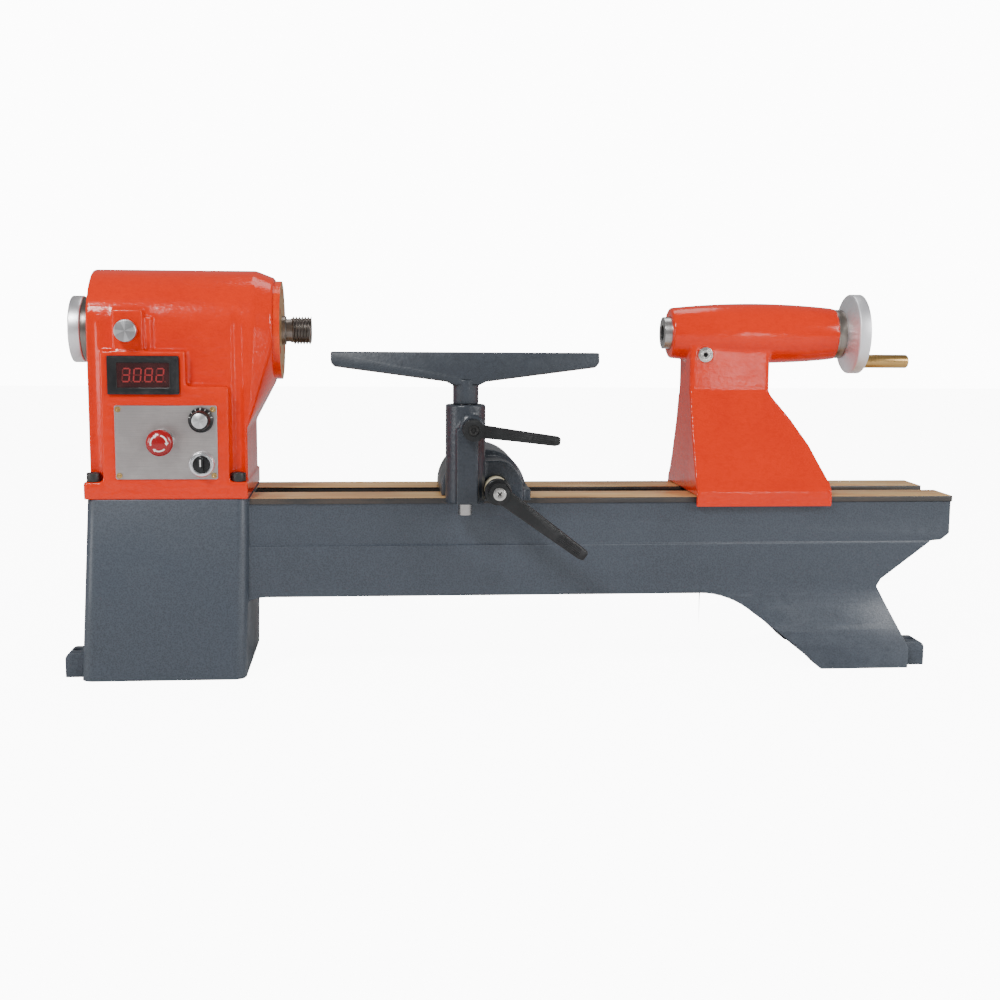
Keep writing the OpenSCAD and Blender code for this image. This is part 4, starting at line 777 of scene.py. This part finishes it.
def makeBearingCap():
    bm = copyNode("bearing_cap")
    for face in bm.faces:
        face.material_index = 0 if face.normal.x > 0.9 else 1
    finishPiece(bm, "bearingCapFinished", ["noseRing", "orangePaint"], bodyOfNode["bearing_cap"],
                "bearing_cap")


makeBearingCap()

plain = {
    "bearing_outer_races": "steelSpindle", "bearing_inner_races": "steelSpindle",
    "bearing_balls": "steelSpindle", "index_spring": "steelSpindle", "display_lens": "displayWindow",
    "display_board": "boardGreen", "drive_belt": "beltRubber", "motor_housing": "motorPaint",
    "motor_bracket": "blackOxide", "speed_controller": "controllerAlloy", "spindle_pulley": "alloySpindle",
    "motor_rotor": "darkMotor", "motor_pulley": "alloyMotor", "estop_stem": "chromeStop",
    "feed_screw": "darkSpindle",
}
for node, material in plain.items():
    mesh = nodes[node].data
    mesh.materials.clear()
    mesh.materials.append(materials[material])
print("plain nodes finished:", len(plain))


# ---- turned pieces

def profileEdges(bm, points, place3):
    verts = [bm.verts.new(place3(*point)) for point in points]
    return verts, [bm.edges.new((verts[i], verts[(i + 1) % len(verts)])) for i in range(len(verts))]


def spinClosed(bm, points, axis, centre, steps):
    # spins a closed outline of (along, radius) pairs about an axis through centre
    centre = Vector(centre)

    def place3(along, radius):
        if axis == "X":
            return (along, centre.y, centre.z + radius)
        return (centre.x, along, centre.z + radius)

    verts, edges = profileEdges(bm, points, place3)
    direction = Vector((1, 0, 0)) if axis == "X" else Vector((0, 1, 0))
    bmesh.ops.spin(bm, geom=verts + edges, cent=centre, axis=direction, angle=2 * math.pi, steps=steps,
                   use_merge=True, use_duplicate=False)
    bmesh.ops.remove_doubles(bm, verts=bm.verts, dist=2e-6)


spindleShape = {
    "rear": -0.502, "front": -0.2277, "boreRadius": 5.0 * mm, "mouthRadius": 8.89 * mm,
    "socketEndRadius": 7.29 * mm, "socketLength": 64 * mm, "coreRadius": 14.2 * mm,
    "crestRadius": 16.45 * mm, "pitch": 3.5 * mm, "turns": 6.2, "threadStart": -0.2507, "steps": 56,
}


def makeSpindle(shape):
    end, core = shape["front"], shape["coreRadius"]
    bm = bmesh.new()
    outline = [
        (shape["rear"], shape["boreRadius"]), (shape["rear"], 9.4 * mm), (shape["rear"] + 0.6 * mm,
            10 * mm), (-0.4745, 10 * mm), (-0.4745, 12.5 * mm),
        (-0.459, 12.5 * mm), (-0.459, 14 * mm), (-0.2935, 14 * mm), (-0.2935, 18 * mm), (-0.2865,
            18 * mm), (-0.2865, 15 * mm),
        (-0.2697, 15 * mm), (-0.2697, 16.9 * mm), (-0.2579, 16.9 * mm), (-0.2574, 16.4 * mm), (-0.2574,
            13.5 * mm), (-0.2521, 13.5 * mm),
        (-0.2521, core), (end - 0.9 * mm, core), (end, core - 0.9 * mm), (end,
            shape["mouthRadius"] + 0.5 * mm),
        (end - 0.5 * mm, shape["mouthRadius"]), (end - shape["socketLength"],
                                                 shape["socketEndRadius"]),
                                                 (end - shape["socketLength"], shape["boreRadius"]),
    ]
    spinClosed(bm, outline, "X", (0, 0, spindleHeight), shape["steps"])
    crest, pitch = shape["crestRadius"], shape["pitch"]
    ridge = [(0, core - 0.4 * mm), (0.42 * pitch, crest), (0.56 * pitch, crest),
             (0.98 * pitch, core - 0.4 * mm)]
    thread = bmesh.new()
    verts, edges = profileEdges(thread, ridge, lambda along,
                                radius: (shape["threadStart"] + along, 0, spindleHeight + radius))
    steps = int(shape["steps"] * shape["turns"])
    bmesh.ops.spin(thread, geom=verts + edges, cent=(0, 0, spindleHeight), axis=(1, 0, 0),
                   dvec=(pitch * shape["turns"] / steps, 0, 0),
                   angle=2 * math.pi * shape["turns"], steps=steps, use_merge=False, use_duplicate=False)
    bmesh.ops.holes_fill(thread, edges=thread.edges, sides=4)
    bmesh.ops.recalc_face_normals(thread, faces=thread.faces)
    bmesh.ops.recalc_face_normals(bm, faces=bm.faces)
    # painted shade inside the taper socket
    paintBoreShade(bm, taperMouth)
    mesh = bpy.data.meshes.new("threadRidge")
    thread.to_mesh(mesh)
    thread.free()
    bm.from_mesh(mesh)
    bpy.data.meshes.remove(mesh)
    finishPiece(bm, "spindleFinished", ["darkSpindle", "blackOxide"], "spindle", "spindle", smoothAngle=30.0)


makeSpindle(spindleShape)

knobShape = {"centre": (-0.3485, 0, 0.2975), "back": -0.089, "skirtRadius": 14.2 * mm,
             "gripRadius": 11.2 * mm, "front": -0.1024,
             "capRadius": 8.6 * mm, "flutes": 30, "steps": 60, "ticks": [-75, -50, -25, 0, 25, 50, 75]}


def makeSpeedKnob(shape):
    centre, back, front = shape["centre"], shape["back"], shape["front"]
    bm = bmesh.new()
    outline = [
        (-0.073, 0.05 * mm), (-0.073, 3 * mm), (back, 3 * mm), (back,
            shape["skirtRadius"] - 0.6 * mm), (back - 0.6 * mm, shape["skirtRadius"]),
        (back - 2.0 * mm, shape["skirtRadius"] - 0.3 * mm), (back - 4.0 * mm,
            shape["gripRadius"] + 0.3 * mm), (back - 5.0 * mm, shape["gripRadius"]),
        (front + 1.2 * mm, shape["gripRadius"] - 0.6 * mm), (front + 0.3 * mm,
            shape["gripRadius"] - 1.3 * mm), (front + 0.3 * mm, 0.05 * mm),
    ]
    spinClosed(bm, outline, "Y", centre, shape["steps"])
    for v in bm.verts:  # flutes: every other step of the grip is drawn in a little
        offset = Vector((v.co.x - centre[0], 0, v.co.z - centre[2]))
        if back - 5.3 * mm > v.co.y > front + 0.6 * mm and offset.length > 9 * mm:
            step = round(math.atan2(offset.x, offset.z) / (2 * math.pi) * shape["steps"])
            if step % 2:
                v.co.x -= offset.x * 0.05
                v.co.z -= offset.z * 0.05
    bmesh.ops.recalc_face_normals(bm, faces=bm.faces)
    finishPiece(bm, "speedKnobFinished", "blackPlastic", "speed_knob", "speed_knob", smoothAngle=25.0)
    cap = bmesh.new()
    spinClosed(cap, [(front + 0.6 * mm, 0.05 * mm), (front + 0.6 * mm, shape["capRadius"]),
                     (front + 0.05 * mm, shape["capRadius"]),
                     (front - 0.25 * mm, shape["capRadius"] - 0.4 * mm), (front - 0.25 * mm,
                         0.05 * mm)], "Y", centre, 48)
    bmesh.ops.recalc_face_normals(cap, faces=cap.faces)
    finishPiece(cap, "speedKnobCap", "alloyCap", "speed_knob", slot="aluminium")
    marks = bmesh.new()
    for angle in shape["ticks"]:
        length = 3.2 * mm if angle == 0 else 1.8 * mm
        made = bmesh.ops.create_cube(marks, size=1.0)["verts"]
        bmesh.ops.scale(marks, verts=made, vec=(0.7 * mm, 0.5 * mm, length))
        tilt = Matrix.Rotation(math.radians(-35), 3, "X")
        bmesh.ops.rotate(marks, verts=made, matrix=tilt, cent=(0, 0, 0))
        bmesh.ops.translate(marks, verts=made, vec=(0, back - 3.0 * mm, shape["skirtRadius"] - 1.6 * mm))
        bmesh.ops.rotate(marks, verts=made, matrix=Matrix.Rotation(math.radians(angle), 3, "Y"),
                         cent=(0, 0, 0))
        bmesh.ops.translate(marks, verts=made, vec=(centre[0], 0, centre[2]))
    finishPiece(marks, "speedKnobMarks", "whiteMark", "speed_knob", slot="black_plastic")


makeSpeedKnob(knobShape)

stopShape = {"centre": (-0.3924, 0, 0.2733), "radius": 15 * mm, "rim": -0.1045, "bulge": 7.5 * mm,
             "inner": 7.6 * mm, "outer": 10.2 * mm,
             "arrows": 3, "arrowSweep": 72.0, "headSweep": 20.0, "lift": 0.14 * mm, "sink": 0.6 * mm}


def makeStopButton(shape):
    centre, radius = shape["centre"], shape["radius"]

    def domeAlong(r):
        return shape["rim"] - shape["bulge"] * math.sqrt(max(0.0, 1 - (r / radius) ** 2))

    bm = bmesh.new()
    outline = [(-0.0995, 5.1 * mm), (-0.0995, radius - 2 * mm), (-0.1003, radius - 0.8 * mm),
               (-0.1015, radius)]
    outline += [(domeAlong(radius * math.cos(a)),
                 radius * math.cos(a)) for a in [math.radians(5 * i) for i in range(0, 18)]]
    outline += [(domeAlong(0), 0.05 * mm), (-0.1076, 0.05 * mm), (-0.1076, 5.1 * mm)]
    spinClosed(bm, outline, "Y", centre, 56)
    bmesh.ops.recalc_face_normals(bm, faces=bm.faces)
    finishPiece(bm, "stopButtonFinished", "redPlastic", "estop_button", "estop_button", smoothAngle=35.0)
    marks = bmesh.new()
    middle = (shape["inner"] + shape["outer"]) / 2

    def onDome(r, angle, lift):
        a = math.radians(angle)
        return (centre[0] + r * math.sin(a), domeAlong(r) - lift, centre[2] + r * math.cos(a))

    for i in range(shape["arrows"]):
        start = i * 360 / shape["arrows"] + 14
        band = [(start + shape["arrowSweep"] * k / 9, shape["inner"] + 0.5 * mm,
                 shape["outer"] - 0.5 * mm) for k in range(10)]
        tip = start + shape["arrowSweep"] + shape["headSweep"]
        barb = (start + shape["arrowSweep"] + 0.5, shape["inner"] - 0.8 * mm, shape["outer"] + 0.8 * mm)
        rows = [*band, barb, (tip, middle - 0.05 * mm, middle + 0.05 * mm)]
        previous = None
        for a, low, high in rows:
            ring = [marks.verts.new(onDome(r, a, lift)) for r, lift in
                    ((low, shape["lift"]), (high, shape["lift"]), (high, -shape["sink"]),
                     (low, -shape["sink"]))]
            if previous:
                for k in range(4):
                    marks.faces.new((previous[k], previous[(k + 1) % 4], ring[(k + 1) % 4], ring[k]))
            else:
                marks.faces.new(ring)
            previous = ring
        marks.faces.new(previous)
    bmesh.ops.recalc_face_normals(marks, faces=marks.faces)
    finishPiece(marks, "stopButtonMarks", "whiteMark", "estop_button", slot="red_plastic")


makeStopButton(stopShape)

selectorMark = {"centre": (-0.3485, 0.2475), "front": -0.1015, "size": (1.3 * mm, 0.5 * mm, 8.0 * mm),
                "up": 2.6 * mm}


def makeSelectorMark(shape):
    bm = bmesh.new()
    bmesh.ops.create_cube(bm, size=1.0)
    bmesh.ops.scale(bm, verts=bm.verts, vec=shape["size"])
    bmesh.ops.translate(bm, verts=bm.verts, vec=(shape["centre"][0], shape["front"],
                                                 shape["centre"][1] + shape["up"]))
    finishPiece(bm, "selectorMark", "whiteMark", "selector_knob", slot="black_plastic")


makeSelectorMark(selectorMark)
print("controls made")

digitShape = {"centre": (-0.4112, 0.3477), "front": -0.0871, "width": 7.6 * mm, "height": 14.5 * mm,
              "spacing": 12.4 * mm, "stroke": 1.6 * mm,
              "slant": 0.09, "thick": 0.5 * mm, "shown": ["abcdg", "abcdef", "abcdefg", "abdeg"]}


def makeDigits(shape):
    w, h, s = shape["width"] / 2, shape["height"] / 2, shape["stroke"]
    bars = {"a": (0, h, 1), "b": (w, h / 2, 0), "c": (w, -h / 2, 0), "d": (0, -h, 1),
            "e": (-w, -h / 2, 0), "f": (-w, h / 2, 0), "g": (0, 0, 1)}
    meshes = {"litSegment": bmesh.new(), "dimSegment": bmesh.new()}
    for i, shown in enumerate(shape["shown"]):
        left = (i - 1.5) * shape["spacing"]
        for letter, (x, z, flat) in bars.items():
            bm = meshes["litSegment" if letter in shown else "dimSegment"]
            made = bmesh.ops.create_cube(bm, size=1.0)["verts"]
            length = (2 * w if flat else h) - s * 0.7
            bmesh.ops.scale(bm, verts=made, vec=(length if flat else s, shape["thick"],
                                                 s if flat else length))
            bmesh.ops.translate(bm, verts=made, vec=(x, 0, z))
            for v in made:
                v.co.x += v.co.z * shape["slant"]
            bmesh.ops.translate(bm, verts=made, vec=(shape["centre"][0] + left, shape["front"],
                                                     shape["centre"][1]))
        bm = meshes["dimSegment"]
        made = bmesh.ops.create_cube(bm, size=1.0)["verts"]
        bmesh.ops.scale(bm, verts=made, vec=(s, shape["thick"], s))
        bmesh.ops.translate(bm, verts=made, vec=(shape["centre"][0] + left + w + 1.7 * mm,
                                                 shape["front"], shape["centre"][1] - h))
    finishPiece(meshes["litSegment"], "displayLit", "litSegment", "lathe_frame", slot="red_lens")
    # the unlit segments carry a painted glow
    finishPiece(meshes["dimSegment"], "displayDim", "dimSegment", "lathe_frame", slot="red_lens")


makeDigits(digitShape)

levers = {
    "banjo_lever": {"hub": (-0.017, 0.222), "angle": -36.5, "front": -0.160, "from": 84, "to": 112,
                    "ribs": 5, "gap": 2.1, "width": 1.4},
    "rest_lock_lever": {"hub": (-0.0455, 0.2916), "angle": -7.5, "front": -0.1565, "from": 66, "to": 90,
                        "ribs": 4, "gap": 2.0, "width": 1.3},
    "tailstock_lever": {"hub": (0.304, 0.235), "angle": 98.0, "front": 0.105, "from": 76, "to": 102,
                        "ribs": 5, "gap": 2.1, "width": 1.3},
    "quill_lock_lever": {"hub": (0.2405, 0.37195), "angle": 70.0, "front": 0.046, "from": 36, "to": 54,
                         "ribs": 3, "gap": 2.0, "width": 1.1},
}
for node, look in levers.items():
    bm = copyNode(node)
    bevelSharp(bm, 1.5 * mm, 3)
    turn = Matrix.Rotation(math.radians(-look["angle"]), 3, "Y")
    for i in range(look["ribs"]):
        made = bmesh.ops.create_cube(bm, size=1.0)["verts"]
        bmesh.ops.scale(bm, verts=made, vec=((look["to"] - look["from"]) * mm, 1.4 * mm,
                                             look["width"] * mm * 0.8))
        side = (i - (look["ribs"] - 1) / 2) * look["gap"] * mm
        bmesh.ops.translate(bm, verts=made, vec=((look["from"] + look["to"]) / 2 * mm, 0, side))
        bmesh.ops.rotate(bm, verts=made, matrix=turn, cent=(0, 0, 0))
        bmesh.ops.translate(bm, verts=made, vec=(look["hub"][0], look["front"], look["hub"][1]))
    finishPiece(bm, node + "Finished", "blackPlastic", bodyOfNode[node], node)
print("levers made:", len(levers))

wheelNut = {"centre": (0, spindleHeight), "face": 0.4386, "washer": 9.5, "washerThick": 1.2, "nut": 8.2,
            "nutThick": 5.5}


def makeWheelNut(shape):
    bm = bmesh.new()
    side = Matrix.Rotation(math.pi / 2, 3, "Y")
    for segments, radius, low, thick in ((48, shape["washer"], 0.0, shape["washerThick"]),
                                         (6, shape["nut"], shape["washerThick"], shape["nutThick"])):
        made = bmesh.ops.create_cone(bm, cap_ends=True, segments=segments, radius1=radius * mm,
                                     radius2=radius * mm, depth=thick * mm)["verts"]
        bmesh.ops.rotate(bm, verts=made, matrix=side, cent=(0, 0, 0))
        bmesh.ops.translate(bm, verts=made, vec=(shape["face"] + (low + thick / 2) * mm,
                                                 shape["centre"][0], shape["centre"][1]))
    bevelSharp(bm, 0.35 * mm, 2)
    finishPiece(bm, "tailWheelNut", "steelSpindle", bodyOfNode["tail_handwheel"], slot="steel")


makeWheelNut(wheelNut)

# painted shade: black bars in the shape of each screw's drive, set just behind its face, stand in for the
# shade in the drive recess
driveRecessShades = [
    {"name": "leverScrewCrossShade", "node": "banjo_lever_screw", "bars": 2, "length": 6.6, "width": 1.3,
     "deep": (0.45, 1.0)},
    {"name": "quillLockRecessShade", "node": "quill_lock_shaft", "bars": 3, "length": 6.0, "width": 2.2,
     "deep": (0.02, 0.5)},
]


def makeDriveRecessShade(look):
    low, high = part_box(look["node"])
    middle = (Vector(low) + Vector(high)) / 2
    bm = bmesh.new()
    near, far = (depth * mm for depth in look["deep"])
    for i in range(look["bars"]):
        made = bmesh.ops.create_cube(bm, size=1.0)["verts"]
        bmesh.ops.scale(bm, verts=made, vec=(look["length"] * mm, far - near, look["width"] * mm))
        bmesh.ops.rotate(bm, verts=made, matrix=Matrix.Rotation(math.pi * (i / look["bars"] + 0.25), 3,
            "Y"), cent=(0, 0, 0))
        bmesh.ops.translate(bm, verts=made, vec=(middle.x, low[1] + (near + far) / 2, middle.z))
    finishPiece(bm, look["name"], "blackOxide", bodyOfNode[look["node"]], slot="black_steel")


for look in driveRecessShades:
    makeDriveRecessShade(look)
